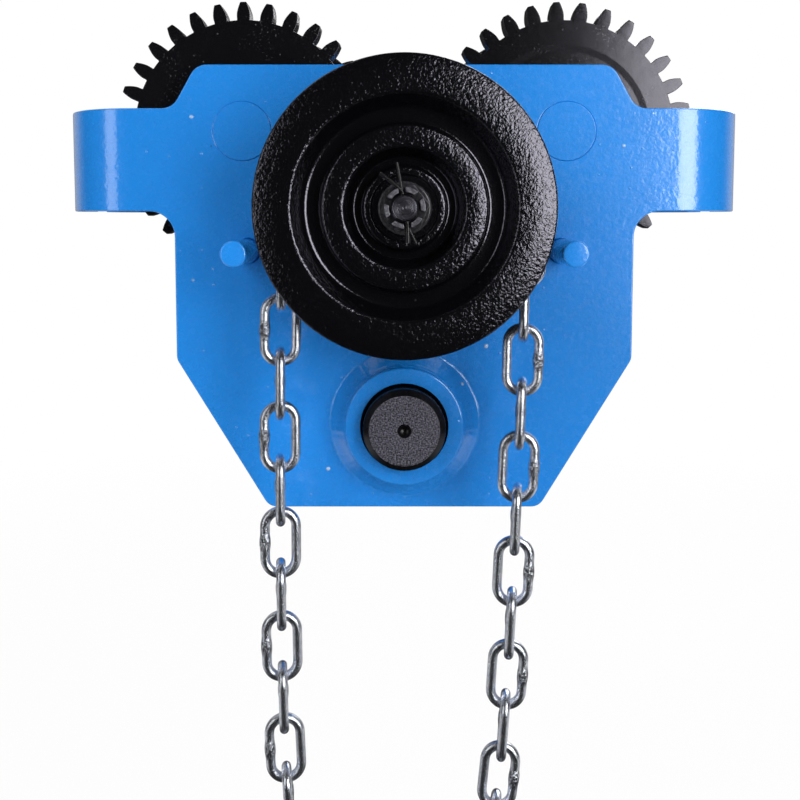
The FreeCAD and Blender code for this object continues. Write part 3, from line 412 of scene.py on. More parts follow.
def turned_steel(name, pale, x, z, rings, roughness, depth=0.00006):
    """Bare metal with the fine rings of turning round an axis along Y."""
    made, tree, shader, place = finish(name)
    centring = {"Vector": place, "Location": (-x * MM, 0, -z * MM)}
    centred = add_node(tree, "ShaderNodeMapping", centring).outputs[0]
    parts = add_node(tree, "ShaderNodeSeparateXYZ", {0: centred}).outputs
    across = calc(tree, "MULTIPLY", parts[0], parts[0])
    up = calc(tree, "MULTIPLY", parts[2], parts[2])
    radius = calc(tree, "SQRT", calc(tree, "ADD", across, up))
    track = add_node(tree, "ShaderNodeCombineXYZ", {0: radius, 1: parts[1]}).outputs[0]
    lines = noise(tree, track, rings, 2.0, 0.7)
    cloud = noise(tree, place, 150.0, 3.0)
    dull = tuple(0.62 * part for part in pale)
    grey = tint(tree, spread(tree, cloud, 0.35, 0.7), (*pale, 1), (*dull, 1))
    give(tree, shader, Base_Color=grey, Metallic=1.0, Normal=bump(tree, lines, depth, strength=0.6),
         Roughness=spread(tree, lines, 0.3, 0.7, roughness - 0.07, roughness + 0.09))
    return made


BLUE = blue_enamel()
CASTING = black_casting()
GEAR_BLACK = black_gear_paint()
ZINC = zinc_plate()
BAR_SKIN = black_oxide("bar_black_oxide", grain_scale=900.0, grain_depth=0.00005,
                       dark=(0.004, 0.004, 0.005), pale=(0.010, 0.010, 0.012), roughness=0.26)
BAR_FACE = black_oxide("bar_sanded_end", grain_scale=1250.0, grain_depth=0.00034,
                       dark=(0.010, 0.010, 0.015), pale=(0.175, 0.170, 0.220), roughness=0.46)
# Paler copy of the nut's black oxide for its crown: a painted highlight on the teeth tops.
NUT_CROWN_HIGHLIGHT = black_oxide("nut_crown_painted_highlight", grain_scale=800.0, grain_depth=0.00006,
                        dark=(0.070, 0.070, 0.082), pale=(0.210, 0.210, 0.238), roughness=0.28)
WASHER_BLACK = black_oxide("washer_black_oxide", grain_scale=700.0, grain_depth=0.00006,
                           dark=(0.022, 0.022, 0.026), pale=(0.060, 0.060, 0.068), roughness=0.24)
SHAFT_STEEL = turned_steel("turned_shaft_steel", pale=(0.150, 0.148, 0.176), x=0.0, z=SHAFT_Z,
                           rings=2600.0, roughness=0.28, depth=0.00026)
PIN_STEEL = black_oxide("pin_black_oxide", grain_scale=900.0, grain_depth=0.00004,
                        dark=(0.006, 0.006, 0.007), pale=(0.02, 0.02, 0.022), roughness=0.26)
BRONZE = turned_steel("turned_bronze", pale=(0.62, 0.41, 0.17), x=0.0, z=SHAFT_Z,
                      rings=2200.0, roughness=0.32)
CLIP_STEEL = black_oxide("clip_phosphate", grain_scale=1400.0, grain_depth=0.00006,
                         dark=(0.05, 0.048, 0.045), pale=(0.11, 0.105, 0.10), roughness=0.45)
AXLE_STEEL = black_oxide("axle_dark_steel", grain_scale=1100.0, grain_depth=0.00005,
                         dark=(0.06, 0.06, 0.064), pale=(0.12, 0.12, 0.125), roughness=0.36)


# Hand wheel

CHAIN_OUT = 107.0
RIM = 67.57
SEAT = 52.2
SLOT = 45.0
POCKET_FLOOR = 48.5
POCKET_HALF = 17.0
POCKET_SIDE = 9.8
POCKETS = 7
HAND_WHEEL = [
    (9.0, 83.3, 0.4), (18.8, 83.3, 1.0), (18.8, 105.0, 3.0), (41.6, 105.0, 3.0), (43.0, 93.5, 2.5),
    (SEAT, 88.0, 2.0), (RIM, 88.0, 1.3), (RIM, 93.5, 1.2), (SEAT, 96.5, 0.6),
    (SEAT, 97.1, 0), (SEAT, 97.3, 0), (SEAT, 103.8, 0.7), (SLOT, 103.8, 0.9),
    (SLOT, 110.2, 0.9), (SEAT, 110.2, 0.7), (SEAT, 116.7, 0), (SEAT, 116.9, 0),
    (SEAT, 117.5, 0.6), (RIM, 120.5, 1.2), (RIM, 124.0, 1.4), (58.5, 125.45, 40.0), (50.0, 126.0, 2.0),
    (45.5, 114.0, 3.0), (37.3, 114.0, 1.8), (37.3, 119.7, 1.6), (32.5, 120.3, 16.0), (27.0, 120.5, 2.0),
    (24.0, 109.5, 2.0), (18.8, 109.5, 1.5), (18.8, 117.0, 1.6), (15.4, 117.0, 0.8),
    (14.6, 116.0, 0.4), (9.0, 116.0, 0.3),
]


def pocketed(radius, out, turn):
    """Radius of the wheel's groove floor, which drops to a flat at each chain pocket."""
    if radius <= SLOT or radius > SEAT + 0.01 or abs(out - CHAIN_OUT) > POCKET_SIDE:
        return radius
    step = 2 * math.pi / POCKETS
    lean = (turn - math.pi / 2 + step / 2) % step - step / 2
    if abs(POCKET_FLOOR * math.tan(lean)) > POCKET_HALF:
        return radius
    return min(radius, POCKET_FLOOR / math.cos(lean))


def hand_wheel():
    mesh = lathe(rounded(HAND_WHEEL), z=SHAFT_Z, turns=POCKETS * 28, radius_at=pocketed)
    add_piece("cast_hand_wheel", mesh, CASTING, "hand_drive", ["hand_wheel"])


NUT_SLOT = 99.0
NUT_SIDES = 6
NUT_FLATS = 19.0
NUT_LOW = 118.5
NUT_SHOULDER = 127.5
NUT_TOP = 133.0
CROWN_OUTER = 9.0
CROWN_INNER = 6.9
CROWN_SINK = 1.0
SLOT_HALF = 1.6
WASHER = [(6.05, 116.0, 0), (12.0, 116.0, 0.4), (12.0, NUT_LOW, 1.1), (6.05, NUT_LOW, 0.3)]


def arc(radius, first, last, steps):
    """Points (x, z) on an arc about the shaft, angles in degrees from +X."""
    turns = [math.radians(first + (last - first) * step / steps) for step in range(steps + 1)]
    return [(radius * math.cos(turn), SHAFT_Z + radius * math.sin(turn)) for turn in turns]


def prism(form, outline, low, high):
    """Adds a straight prism of an outline (x, z) between two distances out to a form."""
    ends = [[form.verts.new(Vector((x, -out, z)) * MM) for x, z in outline] for out in (low, high)]
    form.faces.new(ends[0])
    form.faces.new(ends[1])
    for index in range(len(outline)):
        form.faces.new((ends[0][index - 1], ends[0][index], ends[1][index], ends[1][index - 1]))


def slotted_nut():
    """Hexagon with a crown of six teeth, its slots in line with the split pin; the crown is in a paler copy
    of the oxide, a painted highlight on the teeth.
    """
    form = bmesh.new()
    half = 180 / NUT_SIDES
    hexagon = arc(NUT_FLATS / math.sqrt(3), NUT_SLOT + half, NUT_SLOT + 360 - half, NUT_SIDES - 1)
    prism(form, hexagon, NUT_LOW, NUT_SHOULDER)
    outer = half - math.degrees(math.asin(SLOT_HALF / CROWN_OUTER))
    inner = half - math.degrees(math.asin(SLOT_HALF / CROWN_INNER))
    for tooth in range(NUT_SIDES):
        middle = NUT_SLOT + half + 2 * half * tooth
        outline = arc(CROWN_OUTER, middle - outer, middle + outer, 8)
        outline += arc(CROWN_INNER, middle + inner, middle - inner, 6)
        prism(form, outline, NUT_SHOULDER - CROWN_SINK, NUT_TOP)
    bmesh.ops.recalc_face_normals(form, faces=form.faces)
    mesh = eased(shown("nut", to_mesh(form)), 0.35)
    nut = add_piece("slotted_nut", mesh, NUT_CROWN_HIGHLIGHT, "hand_drive", ["castle_nut"])
    # The hex body takes the washer's darker oxide, and the crown's paler oxide is a painted highlight.
    mesh.materials.append(WASHER_BLACK)
    for face in mesh.polygons:
        face.material_index = int(-face.center.y < (NUT_SHOULDER + 0.1) * MM)
    weighted(nut)


def wheel_fastening():
    mesh = lathe(rounded(WASHER), z=SHAFT_Z, turns=72)
    add_piece("hub_washer", mesh, WASHER_BLACK, "hand_drive", ["nut_washer"])
    slotted_nut()
    mesh = eased_copy("pinion_shaft", 0.3)
    shaft = add_piece("shaft_with_pinion", mesh, SHAFT_STEEL, "hand_drive",
                      ["pinion_shaft"])
    weighted(shaft)


# Side plates with bosses, guide rods, axles and housing

BOSS = [
    (20.05, PLATE_OUT, 0), (29.0, PLATE_OUT, 0), (29.0, 82.0, 1.0),
    (21.3, 82.0, 0.5), (21.3, 76.0, 0.3), (20.05, 76.0, 0.2),
]
WELD_RING = [
    (28.5, 68.4), (38.0, 68.4), (38.0, 69.05), (37.3, 69.1), (36.8, 69.3), (36.4, 69.65), (35.6, 70.6),
    (34.0, 72.3), (32.4, 73.9), (30.8, 75.4), (30.2, 76.0), (29.7, 76.7), (29.3, 77.6), (28.5, 77.8),
]
# Radii of the bead: its held root, where it is free to wander, and its toe.
BEAD_ROOT = 29.0
BEAD_FREE = 31.0
BEAD_TOE = 37.0
# How far each ripple lags towards the toe, and how uneven the ripples are, in radians.
BEAD_LAG = 2.2
BEAD_UNEVEN = 5.0
WELD = {"Ripple": 0.05 * MM, "Beads": 46.0, "Wander": 1.6 * MM, "Seed": 4.0}
ROD = [(0, 61.4, 0), (6.0, 61.4, 0.4), (6.0, 117.0, 1.0), (0, 117.0, 0)]
HOUSING = [
    (13.0, 61.3, 0.2), (17.0, 61.3, 0.2), (17.0, PLATE_OUT, 0),
    (22.0, PLATE_OUT, 0), (17.0, 81.0, 1.2), (13.0, 81.0, 0.3),
]
AXLE = [
    (0, 20.0, 0), (11.9, 20.0, 0.4), (12.5, 20.6, 0), (12.5, 22.8, 0), (11.9, 22.8, 0), (11.9, 24.0, 0),
    (12.5, 24.0, 0), (12.5, 39.0, 0), (16.25, 39.0, 0.4), (16.25, 61.0, 0.3), (14.2, 61.0, 0),
    (14.2, 68.8, 0), (0, 68.8, 0),
]
RIVET_CAP = [(0, 68.7, 0), (14.3, 68.7, 0), (14.3, 69.4, 0.35), (0, 69.4, 0)]
BORE = 21.45
ROD_X = 76.99
ROD_Z = -17.44


def side_plates():
    for node, body in (("front_side_plate", "drive_frame"), ("rear_side_plate", "idler_frame")):
        mesh = eased_copy(node, 0.9, segments=3)
        weighted(add_piece("bent_" + node, mesh, BLUE, body, [node]))


def weld_tree():
    """Rippled bead with a wandering toe, from a plain ring round the load bar's axis."""
    tree, given = new_tree("weld_bead", "Ring", WELD, "Bead")
    spot = tree.nodes.new("GeometryNodeInputPosition").outputs[0]
    parts = add_node(tree, "ShaderNodeSeparateXYZ", {0: spot}).outputs
    up = calc(tree, "SUBTRACT", parts[2], BAR_Z * MM)
    flat = add_node(tree, "ShaderNodeCombineXYZ", {0: parts[0], 2: up}).outputs[0]
    radius = length_of(tree, flat)
    away = add_node(tree, "ShaderNodeVectorMath", {0: flat}, operation="NORMALIZE").outputs[0]
    free = spread(tree, radius, BEAD_ROOT * MM, BEAD_FREE * MM)
    slow = {"Vector": away, "W": given["Seed"], "Scale": 3.2, "Detail": 3.0}
    wave = add_node(tree, "ShaderNodeTexNoise", slow, noise_dimensions="4D").outputs[0]
    drift = calc(tree, "MULTIPLY", calc(tree, "SUBTRACT", wave, 0.5), given["Wander"])
    turn = calc(tree, "ARCTAN2", up, parts[0])
    lag = calc(tree, "MULTIPLY", spread(tree, radius, BEAD_ROOT * MM, BEAD_TOE * MM), BEAD_LAG)
    swing = calc(tree, "ADD", calc(tree, "MULTIPLY", turn, given["Beads"]), lag)
    swing = calc(tree, "ADD", swing, calc(tree, "MULTIPLY", wave, BEAD_UNEVEN))
    height = calc(tree, "MULTIPLY", calc(tree, "SINE", swing), calc(tree, "MULTIPLY", given["Ripple"], 0.5))
    outwards = tree.nodes.new("GeometryNodeInputNormal").outputs[0]
    ridge = scaled(tree, outwards, height)
    sway = scaled(tree, away, drift)
    both = add_node(tree, "ShaderNodeVectorMath", {0: ridge, 1: sway}, operation="ADD").outputs[0]
    held = scaled(tree, both, free)
    moved = add_node(tree, "GeometryNodeSetPosition", {"Geometry": given["Ring"], "Offset": held})
    end_tree(tree, moved.outputs[0], BLUE)
    return tree


def bosses():
    tree = weld_tree()
    for end, body, back in ENDS:
        mesh = lathe(rounded(BOSS), z=BAR_Z, back=back)
        add_piece(f"turned_{end}_boss", mesh, BLUE, body, [f"{end}_boss"])
        # The unpainted bore takes the bar's near-black oxide, a painted shade for the dark gap round the
        # bar.
        mesh.materials.append(BAR_SKIN)
        for face in mesh.polygons:
            reach = math.hypot(face.center.x, face.center.z - BAR_Z * MM)
            face.material_index = int(reach < BORE * MM)
        bead = grown(lathe(WELD_RING, z=BAR_Z, back=back, turns=360), tree, WELD)
        add_piece(f"{end}_boss_weld", bead, BLUE, body, sharp=70.0)


def guide_rods():
    for side, sign in SIDES:
        mesh = lathe(rounded(ROD), x=sign * ROD_X, z=ROD_Z, turns=48)
        add_piece(f"painted_guide_rod_{side}", mesh, BLUE, "drive_frame",
                  [f"chain_guide_rod_{side}"])


def axles():
    for end, body, back in ENDS:
        for side, sign in SIDES:
            name = f"{end}_{side}_axle"
            mesh = lathe(rounded(AXLE), sign * WHEEL_X, WHEEL_Z, back, turns=72)
            add_piece("turned_" + name, mesh, AXLE_STEEL, body, [name])
            cap = lathe(rounded(RIVET_CAP), sign * WHEEL_X, WHEEL_Z, back, turns=72)
            weighted(add_piece(f"{name}_rivet_cap", cap, BLUE, body))


def shaft_housing():
    mesh = lathe(rounded(HOUSING), z=SHAFT_Z)
    add_piece("painted_shaft_housing", mesh, BLUE, "drive_frame", ["shaft_housing"])


# Load bar

BAR_HALF = [
    (0, 86.0, 0), (3.3, 92.0, 0.3), (17.2, 92.0, 0.5),
    (20.0, 89.2, 0.7), (20.0, 20.0, 0.8), (18.0, 18.0, 0.8),
]
END_FACING = 0.99


def load_bar():
    other = [(radius, -out, rounding) for radius, out, rounding in reversed(BAR_HALF)]
    mesh = lathe(rounded(BAR_HALF + other), z=BAR_Z)
    add_piece("turned_load_bar", mesh, BAR_SKIN, "load_bar_body", ["load_bar"])
    mesh.materials.append(BAR_FACE)
    for face in mesh.polygons:
        if abs(face.normal.y) > END_FACING:
            face.material_index = 1


# Trolley wheels

PLAIN_WHEEL = [
    (26.0, 15.0, 0.4), (26.0, 22.0, 0), (27.2, 22.0, 0), (27.2, 24.0, 0), (26.0, 24.0, 0), (26.0, 39.0, 0),
    (23.5, 39.0, 0), (23.5, 47.0, 0.4), (40.6, 47.0, 1.5), (43.8, 51.0, 1.2), (65.0, 51.0, 1.8),
    (65.0, 39.0, 1.8), (41.0, 39.0, 1.0), (41.0, 15.0, 1.8),
]
# The gear's outer face, its slope in degrees, and the dish in it with the share of its depth that stays.
GEAR_FACE = 58.0
DRAFT = 3.4
DISH_FLOOR = 53.0
DISH_FROM = 23.0
DISH_RIM = 44.3
DISH_SHARE = 0.06


def forged_face(mesh, x):
    """Slopes a gear's outer face back towards its teeth and makes the dish inside it shallow."""
    form = bmesh.new()
    form.from_mesh(mesh)
    bmesh.ops.triangulate(form, faces=[face for face in form.faces if len(face.verts) > 4])
    for vert in form.verts:
        out = -vert.co.y / MM
        radius = math.hypot(vert.co.x / MM - x, vert.co.z / MM - WHEEL_Z)
        if out < DISH_FLOOR or radius < DISH_FROM:
            continue
        sunk = (GEAR_FACE - out) * (1.0 if radius > DISH_RIM else DISH_SHARE)
        drop = (radius - DISH_FROM) * math.tan(math.radians(DRAFT))
        vert.co.y = (sunk + drop - GEAR_FACE) * MM
    form.to_mesh(mesh)
    form.free()


def trolley_wheels():
    for side, sign in SIDES:
        mesh = lathe(rounded(PLAIN_WHEEL), sign * WHEEL_X, WHEEL_Z, back=True, turns=144)
        add_piece(f"turned_plain_wheel_{side}", mesh, GEAR_BLACK, f"idler_wheel_{side}",
                  [f"plain_wheel_{side}"])
        mesh = eased_copy(f"gear_wheel_{side}", 0.35)
        forged_face(mesh, sign * WHEEL_X)
        gear = add_piece(f"cut_gear_wheel_{side}", mesh, GEAR_BLACK, f"drive_wheel_{side}",
                         [f"gear_wheel_{side}"])
        weighted(gear)


# Split pin

PIN_OUT = 130.25
PIN_WIRE = 1.0
PIN_STRAIGHT = (0.0, 4.5, 8.5)
# Each leg: its angle in degrees from +X, its reach from the shaft's axis and its share of the wire.
PIN_LEGS = ((126.0, 18.5, 0.95), (100.0, 19.8, 0.75), (275.0, 15.4, 1.1), (288.0, 16.2, 0.7))


def split_pin():
    """Thin legs that leave the nut's slots at their own angles."""
    data = bpy.data.curves.new("pin", "CURVE")
    data.dimensions = "3D"
    data.bevel_depth = PIN_WIRE * MM
    data.bevel_resolution = 4
    data.use_fill_caps = True
    for angle, reach, thick in PIN_LEGS:
        through = math.radians(NUT_SLOT if angle < 180 else NUT_SLOT + 180)
        way = math.radians(angle)
        spots = [(math.cos(through) * at, math.sin(through) * at) for at in PIN_STRAIGHT]
        spots.append((math.cos(way) * reach, math.sin(way) * reach))
        spline = data.splines.new("NURBS")
        spline.points.add(len(spots) - 1)
        for point, (across, up) in zip(spline.points, spots):
            point.co = (across * MM, -PIN_OUT * MM, (SHAFT_Z + up) * MM, 1)
            point.radius = thick
        spline.use_endpoint_u = True
        spline.order_u = 3
    mesh = evaluated(shown("pin_curve", data))
    add_piece("bent_split_pin", mesh, PIN_STEEL, "hand_drive", ["split_pin"])


# Hand chain

# Height below which links hang, and the distance from the middle that turns a link by one radian.
HANGING = -0.02
TWIST = 0.475
# Lean to the back that settles which side of an upright link has the weld.
WELD_LEAN = 0.02
LINK = {"Pitch": 25.45 * MM, "Wire": 4.5 * MM, "Width": 19.0 * MM, "Weld swell": 0.16}
LINK_CROWN = 0.4999
LINK_CROWN_POINTS = 10
LINK_POINTS = 64
WIRE_SIDES = 14
# Distances from a link's middle, in wire widths, where the weld's swell and scar begin and are full.
SWELL = (0.90, 0.30)
SCAR = (1.15, 0.55)


def link_tree():
    """Chain link with a welded side, set on every point of a mesh by the point's own directions."""
    tree, given = new_tree("chain_links", "Points", LINK, "Links")
    wire = given["Wire"]
    height = calc(tree, "SUBTRACT", given["Width"], wire)
    length = calc(tree, "ADD", given["Pitch"], wire)
    box = add_node(tree, "GeometryNodeCurvePrimitiveQuadrilateral", {"Width": length, "Height": height})
    crown = calc(tree, "MULTIPLY", height, LINK_CROWN)
    corners = {"Curve": box.outputs[0], "Radius": crown, "Count": LINK_CROWN_POINTS, "Limit Radius": True}
    bent = add_node(tree, "GeometryNodeFilletCurve", corners, mode="POLY")
    even = add_node(tree, "GeometryNodeResampleCurve", {"Curve": bent.outputs[0], "Count": LINK_POINTS})
    place = tree.nodes.new("GeometryNodeInputPosition").outputs[0]
    spot = add_node(tree, "ShaderNodeSeparateXYZ", {0: place})
    along = calc(tree, "DIVIDE", calc(tree, "ABSOLUTE", spot.outputs[0]), wire)
    upper = calc(tree, "GREATER_THAN", spot.outputs[1], 0.0)
    mark = calc(tree, "MULTIPLY", spread(tree, along, *SCAR), upper)
    marking = {"Geometry": even.outputs[0], "Name": "weld", "Value": mark}
    marked = add_node(tree, "GeometryNodeStoreNamedAttribute", marking, data_type="FLOAT")
    swell = product(tree, spread(tree, along, *SWELL), upper, given["Weld swell"])
    half_wire = calc(tree, "DIVIDE", wire, 2.0)
    section = {"Resolution": WIRE_SIDES, "Radius": half_wire}
    ring = add_node(tree, "GeometryNodeCurvePrimitiveCircle", section)
    thickness = calc(tree, "ADD", swell, 1.0)
    sweep = {"Curve": marked.outputs[0], "Profile Curve": ring.outputs[0], "Scale": thickness}
    skin = add_node(tree, "GeometryNodeCurveToMesh", sweep)
    way = add_node(tree, "GeometryNodeInputNamedAttribute", {"Name": "way"}, data_type="FLOAT_VECTOR")
    flat = add_node(tree, "GeometryNodeInputNamedAttribute", {"Name": "flat"}, data_type="FLOAT_VECTOR")
    first = add_node(tree, "FunctionNodeAlignRotationToVector", {"Vector": way.outputs[0]}, axis="X")
    seat = {"Rotation": first.outputs[0], "Vector": flat.outputs[0]}
    turned = add_node(tree, "FunctionNodeAlignRotationToVector", seat, axis="Z", pivot_axis="X")
    laying = {"Points": given["Points"], "Instance": skin.outputs[0], "Rotation": turned.outputs[0]}
    laid = add_node(tree, "GeometryNodeInstanceOnPoints", laying)
    end_tree(tree, laid.outputs[0], ZINC)
    return tree


def islands(form):
    """Vertices of each separate shell in a merged mesh."""
    left = set(form.verts)
    shells = []
    while left:
        shell = {left.pop()}
        edge = list(shell)
        while edge:
            vert = edge.pop()
            for bond in vert.link_edges:
                other = bond.other_vert(vert)
                if other in left:
                    left.discard(other)
                    shell.add(other)
                    edge.append(other)
        shells.append(np.array([vert.co for vert in shell]))
    return shells


def link_seats(node):
    """Point, long direction and flat side of each link of a CAD chain, its weld on the outer side."""
    seats = []
    form = merged_copy(node)
    for shell in islands(form):
        centre = (shell.min(0) + shell.max(0)) / 2
        axes = np.linalg.eigh(np.cov((shell - shell.mean(0)).T))[1]
        way = Vector(axes[:, 2])
        if way.z < 0:
            way.negate()
        side = Vector(axes[:, 0]).cross(way)
        rise = centre[2] - SHAFT_Z * MM if centre[2] > 0 else 0
        outwards = Vector((centre[0], WELD_LEAN, rise))
        if side.dot(outwards) < 0:
            side.negate()
        if centre[2] < HANGING:
            lean = Matrix.Rotation(-centre[0] / TWIST, 3, "Z")
            way = lean @ way
            side = lean @ side
        seats.append((centre, way, way.cross(side)))
    form.free()
    return sorted(seats, key=lambda seat: (round(seat[0][2], 5), round(seat[0][0], 5)))


def hand_chain():
    tree = link_tree()
    for node, body in (("hand_chain_on_wheel", "drive_frame"), ("hand_chain_loop", "chain_loop")):
        seats = link_seats(node)
        points = bpy.data.meshes.new("seats")
        points.from_pydata([seat[0] for seat in seats], [], [])
        for name, index in (("way", 1), ("flat", 2)):
            marks = points.attributes.new(name, "FLOAT_VECTOR", "POINT")
            marks.data.foreach_set("vector", [part for seat in seats for part in seat[index]])
        add_piece("welded_" + node, grown(points, tree, LINK), ZINC, body, [node], sharp=60.0)


# Carried-over nodes

BEARING_GREY = (0.66, 0.66, 0.67)
BRONZE_NODES = ("shaft_bush", "thrust_washer")


def bearing_steel(x):
    """Ground steel with its rings about one wheel's axis, made once for each."""
    name = f"bearing_steel_{x:.0f}"
    made = bpy.data.materials.get(name)
    return made or turned_steel(name, BEARING_GREY, x, WHEEL_Z, rings=2400.0, roughness=0.22)


def dress_nodes():
    """Finishes for the CAD nodes that stay as they are."""
    for name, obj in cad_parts.items():
        if obj.hide_render:
            continue
        if "bearing" in name:
            made = bearing_steel(WHEEL_X if "right" in name else -WHEEL_X)
        elif "circlip" in name:
            made = CLIP_STEEL
        elif name in BRONZE_NODES:
            made = BRONZE
        else:
            made = SHAFT_STEEL
        obj.data.materials.clear()
        obj.data.materials.append(made)


# Studio

WHITE = (1, 1, 1, 1)
SKY_FILL = 0.32
LAMP_AIM = (0, -0.06, -0.02)
CAMERA = (-0.00209, -0.5818, -0.001)
PITCH = 4.77
LENS = 46.71
SHIFT_Y = -0.12
FLOOR_Z = -0.55
FLOOR_REACH = 6.0
FLOOR_GREY = (0.88, 0.88, 0.88, 1)
# The floor is nearly white under the trolley, and wholly white from a distance on.
FLOOR_NEAR = 0.6
FLOOR_FAR = 2.0
FLOOR_SHARE = 0.94

CLOTH_STEPS = 64
CLOTH_REACH = 2.0
CLOTH_TOP = 2.0
CLOTH_LOW = FLOOR_Z + 0.01
CLOTH_SLACK = 0.005
CLOTH_GLOW = 0.012
# Paler stretches: angles off the front, in degrees, where each begins and is full, and its strength.
PALE_WALL = (98, 120, 0.45)
PALE_GROUND = (45, 65, 0.65)
PALE_ROOF = (60, 85, 0.60)
# They fade again behind the trolley, between these angles and to this share.
BEHIND = (140, 165)
BEHIND_SHARE = 0.04
# Distances from the upright axis where each stretch fades in, and where the one on the ground fades out.
WALL_IN = (0.97 * CLOTH_REACH, 0.99 * CLOTH_REACH)
GROUND_IN = (0.30, 0.50)
GROUND_OUT = (1.40, 1.05)
ROOF_IN = (0.50, 0.80)


def seen_white(tree):
    """1 for camera, glossy and transmission rays, which see the white background."""
    path = add_node(tree, "ShaderNodeLightPath").outputs
    seen = calc(tree, "MAXIMUM", path["Is Camera Ray"], path["Is Glossy Ray"])
    return calc(tree, "MAXIMUM", seen, path["Is Transmission Ray"])


def studio_world():
    world = bpy.data.worlds.new("studio")
    bpy.context.scene.world = world
    world.use_nodes = True
    tree = world.node_tree
    tree.nodes.clear()
    fill = add_node(tree, "ShaderNodeBackground", {"Color": WHITE, "Strength": SKY_FILL})
    white = add_node(tree, "ShaderNodeBackground", {"Color": WHITE, "Strength": 1.0})
    shares = {0: seen_white(tree), 1: fill.outputs[0], 2: white.outputs[0]}
    mixed = add_node(tree, "ShaderNodeMixShader", shares)
    tree.links.new(mixed.outputs[0], tree.nodes.new("ShaderNodeOutputWorld").inputs[0])


def bare_material(name):
    """New material with an empty tree."""
    made = bpy.data.materials.new(name)
    made.use_nodes = True
    made.node_tree.nodes.clear()
    return made, made.node_tree


def flat_panel(name, corners):
    mesh = bpy.data.meshes.new(name)
    mesh.from_pydata(corners, [], [range(len(corners))])
    panel = shown(name, mesh)
    return panel


def studio_floor():
    square = ((-1, -1), (1, -1), (1, 1), (-1, 1))
    floor = flat_panel("floor", [(x * FLOOR_REACH, y * FLOOR_REACH, FLOOR_Z) for x, y in square])
    made, tree = bare_material("pale_floor")
    matt = add_node(tree, "ShaderNodeBsdfDiffuse", {"Color": FLOOR_GREY})
    white = add_node(tree, "ShaderNodeEmission", {"Color": WHITE, "Strength": 1.0})
    place = add_node(tree, "ShaderNodeTexCoord").outputs["Object"]
    pure = spread(tree, length_of(tree, place), FLOOR_NEAR, FLOOR_FAR, FLOOR_SHARE, 1.0)
    share = calc(tree, "MULTIPLY", seen_white(tree), pure)
    mixed = add_node(tree, "ShaderNodeMixShader", {0: share, 1: matt.outputs[0], 2: white.outputs[0]})
    tree.links.new(mixed.outputs[0], tree.nodes.new("ShaderNodeOutputMaterial").inputs[0])
    floor.data.materials.append(made)


def cloth_mesh():
    """Closed drum: a round wall with a ground and a roof."""
    steps = CLOTH_STEPS
    turns = [2 * math.pi * step / steps for step in range(steps)]
    ring = [(CLOTH_REACH * math.sin(turn), -CLOTH_REACH * math.cos(turn)) for turn in turns]
    spots = [(x, y, z) for z in (CLOTH_LOW, CLOTH_TOP) for x, y in ring]
    walls = [(step, (step + 1) % steps, steps + (step + 1) % steps, steps + step) for step in range(steps)]
    ends = [range(steps), range(steps, 2 * steps)]
    mesh = bpy.data.meshes.new("dark_surround")
    mesh.from_pydata(spots, [], walls + ends)
    return mesh


def past_angle(tree, turn, first, full, strength):
    """Nothing up to one angle off the front, in degrees, and a strength from another on."""
    return spread(tree, turn, math.radians(first), math.radians(full), 0.0, strength)


def cloth_glow(tree):
    """Strength of the cloth's glow at each spot."""
    place = add_node(tree, "ShaderNodeTexCoord").outputs["Object"]
    parts = add_node(tree, "ShaderNodeSeparateXYZ", {0: place}).outputs
    front = calc(tree, "MULTIPLY", parts[1], -1.0)
    turn = calc(tree, "ABSOLUTE", calc(tree, "ARCTAN2", parts[0], front))
    away = length_of(tree, add_node(tree, "ShaderNodeCombineXYZ", {0: parts[0], 1: parts[1]}).outputs[0])
    behind = spread(tree, turn, math.radians(BEHIND[0]), math.radians(BEHIND[1]), 1.0, BEHIND_SHARE)
    wall = product(tree, spread(tree, away, *WALL_IN), behind, past_angle(tree, turn, *PALE_WALL))
    on_ground = calc(tree, "LESS_THAN", parts[2], CLOTH_LOW + CLOTH_SLACK)
    ground = product(tree, on_ground, behind, spread(tree, away, *GROUND_IN),
                     spread(tree, away, *GROUND_OUT), past_angle(tree, turn, *PALE_GROUND))
    on_roof = calc(tree, "GREATER_THAN", parts[2], CLOTH_TOP - CLOTH_SLACK)
    roof = product(tree, on_roof, behind, spread(tree, away, *ROOF_IN), past_angle(tree, turn, *PALE_ROOF))
    return calc(tree, "ADD", calc(tree, "ADD", wall, ground), calc(tree, "ADD", roof, CLOTH_GLOW))


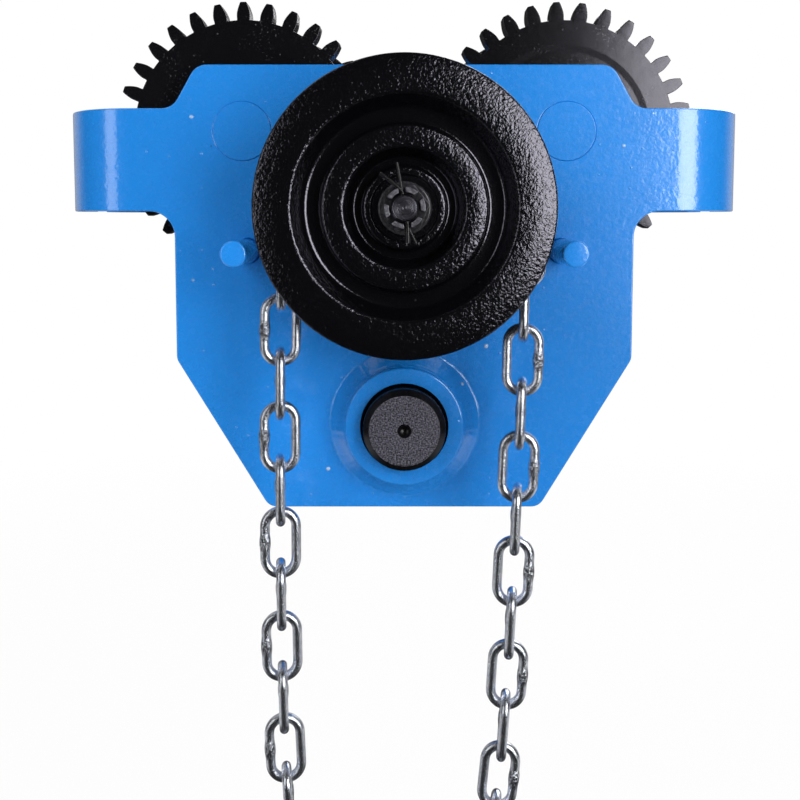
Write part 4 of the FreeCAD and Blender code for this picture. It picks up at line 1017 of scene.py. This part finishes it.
def dark_surround():
    """Cloth round the trolley, seen only in its gloss: dark in front, with paler stretches at the sides."""
    mesh = cloth_mesh()
    cloth = shown("dark_surround", mesh)
    made, tree = bare_material("dark_cloth")
    glow = add_node(tree, "ShaderNodeEmission", {"Color": WHITE, "Strength": cloth_glow(tree)})
    tree.links.new(glow.outputs[0], tree.nodes.new("ShaderNodeOutputMaterial").inputs[0])
    mesh.materials.append(made)
    cloth.visible_camera = False
    cloth.visible_diffuse = False
    cloth.visible_shadow = False
    cloth.visible_transmission = False


def soft_box(name, turn, rise, distance, width, height, power, glossy=True):
    """Area lamp at an angle to the right of the camera, aimed at the trolley."""
    data = bpy.data.lights.new(name, "AREA")
    data.shape = "RECTANGLE"
    data.size = width
    data.size_y = height
    data.energy = power
    lamp = shown(name, data)
    across = math.radians(turn)
    up = math.radians(rise)
    way = Vector((math.sin(across) * math.cos(up), -math.cos(across) * math.cos(up), math.sin(up)))
    lamp.location = Vector(LAMP_AIM) + way * distance
    lamp.rotation_euler = (-way).to_track_quat("-Z", "Y").to_euler()
    lamp.visible_camera = False
    lamp.visible_glossy = glossy


def studio_camera():
    data = bpy.data.cameras.new("camera")
    data.lens = LENS
    data.shift_y = SHIFT_Y
    camera = shown("camera", data)
    camera.location = CAMERA
    camera.rotation_euler = (math.radians(90 - PITCH), 0, 0)
    bpy.context.scene.camera = camera
    bpy.context.scene.view_settings.view_transform = "Standard"


def studio():
    studio_world()
    studio_floor()
    dark_surround()
    soft_box("right_box", turn=36.0, rise=10.0, distance=1.235, width=0.60, height=0.85, power=10.3)
    soft_box("left_box", turn=-51.0, rise=8.0, distance=1.25, width=0.36, height=0.9, power=2.2)
    soft_box("top_box", turn=-45.0, rise=38.0, distance=1.4, width=1.0, height=0.6, power=8.5, glossy=False)
    soft_box("back_box", turn=152.0, rise=26.0, distance=1.4, width=0.9, height=0.7, power=9.0)
    studio_camera()


hand_wheel()
wheel_fastening()
split_pin()
side_plates()
bosses()
guide_rods()
axles()
shaft_housing()
load_bar()
trolley_wheels()
hand_chain()
dress_nodes()
studio()
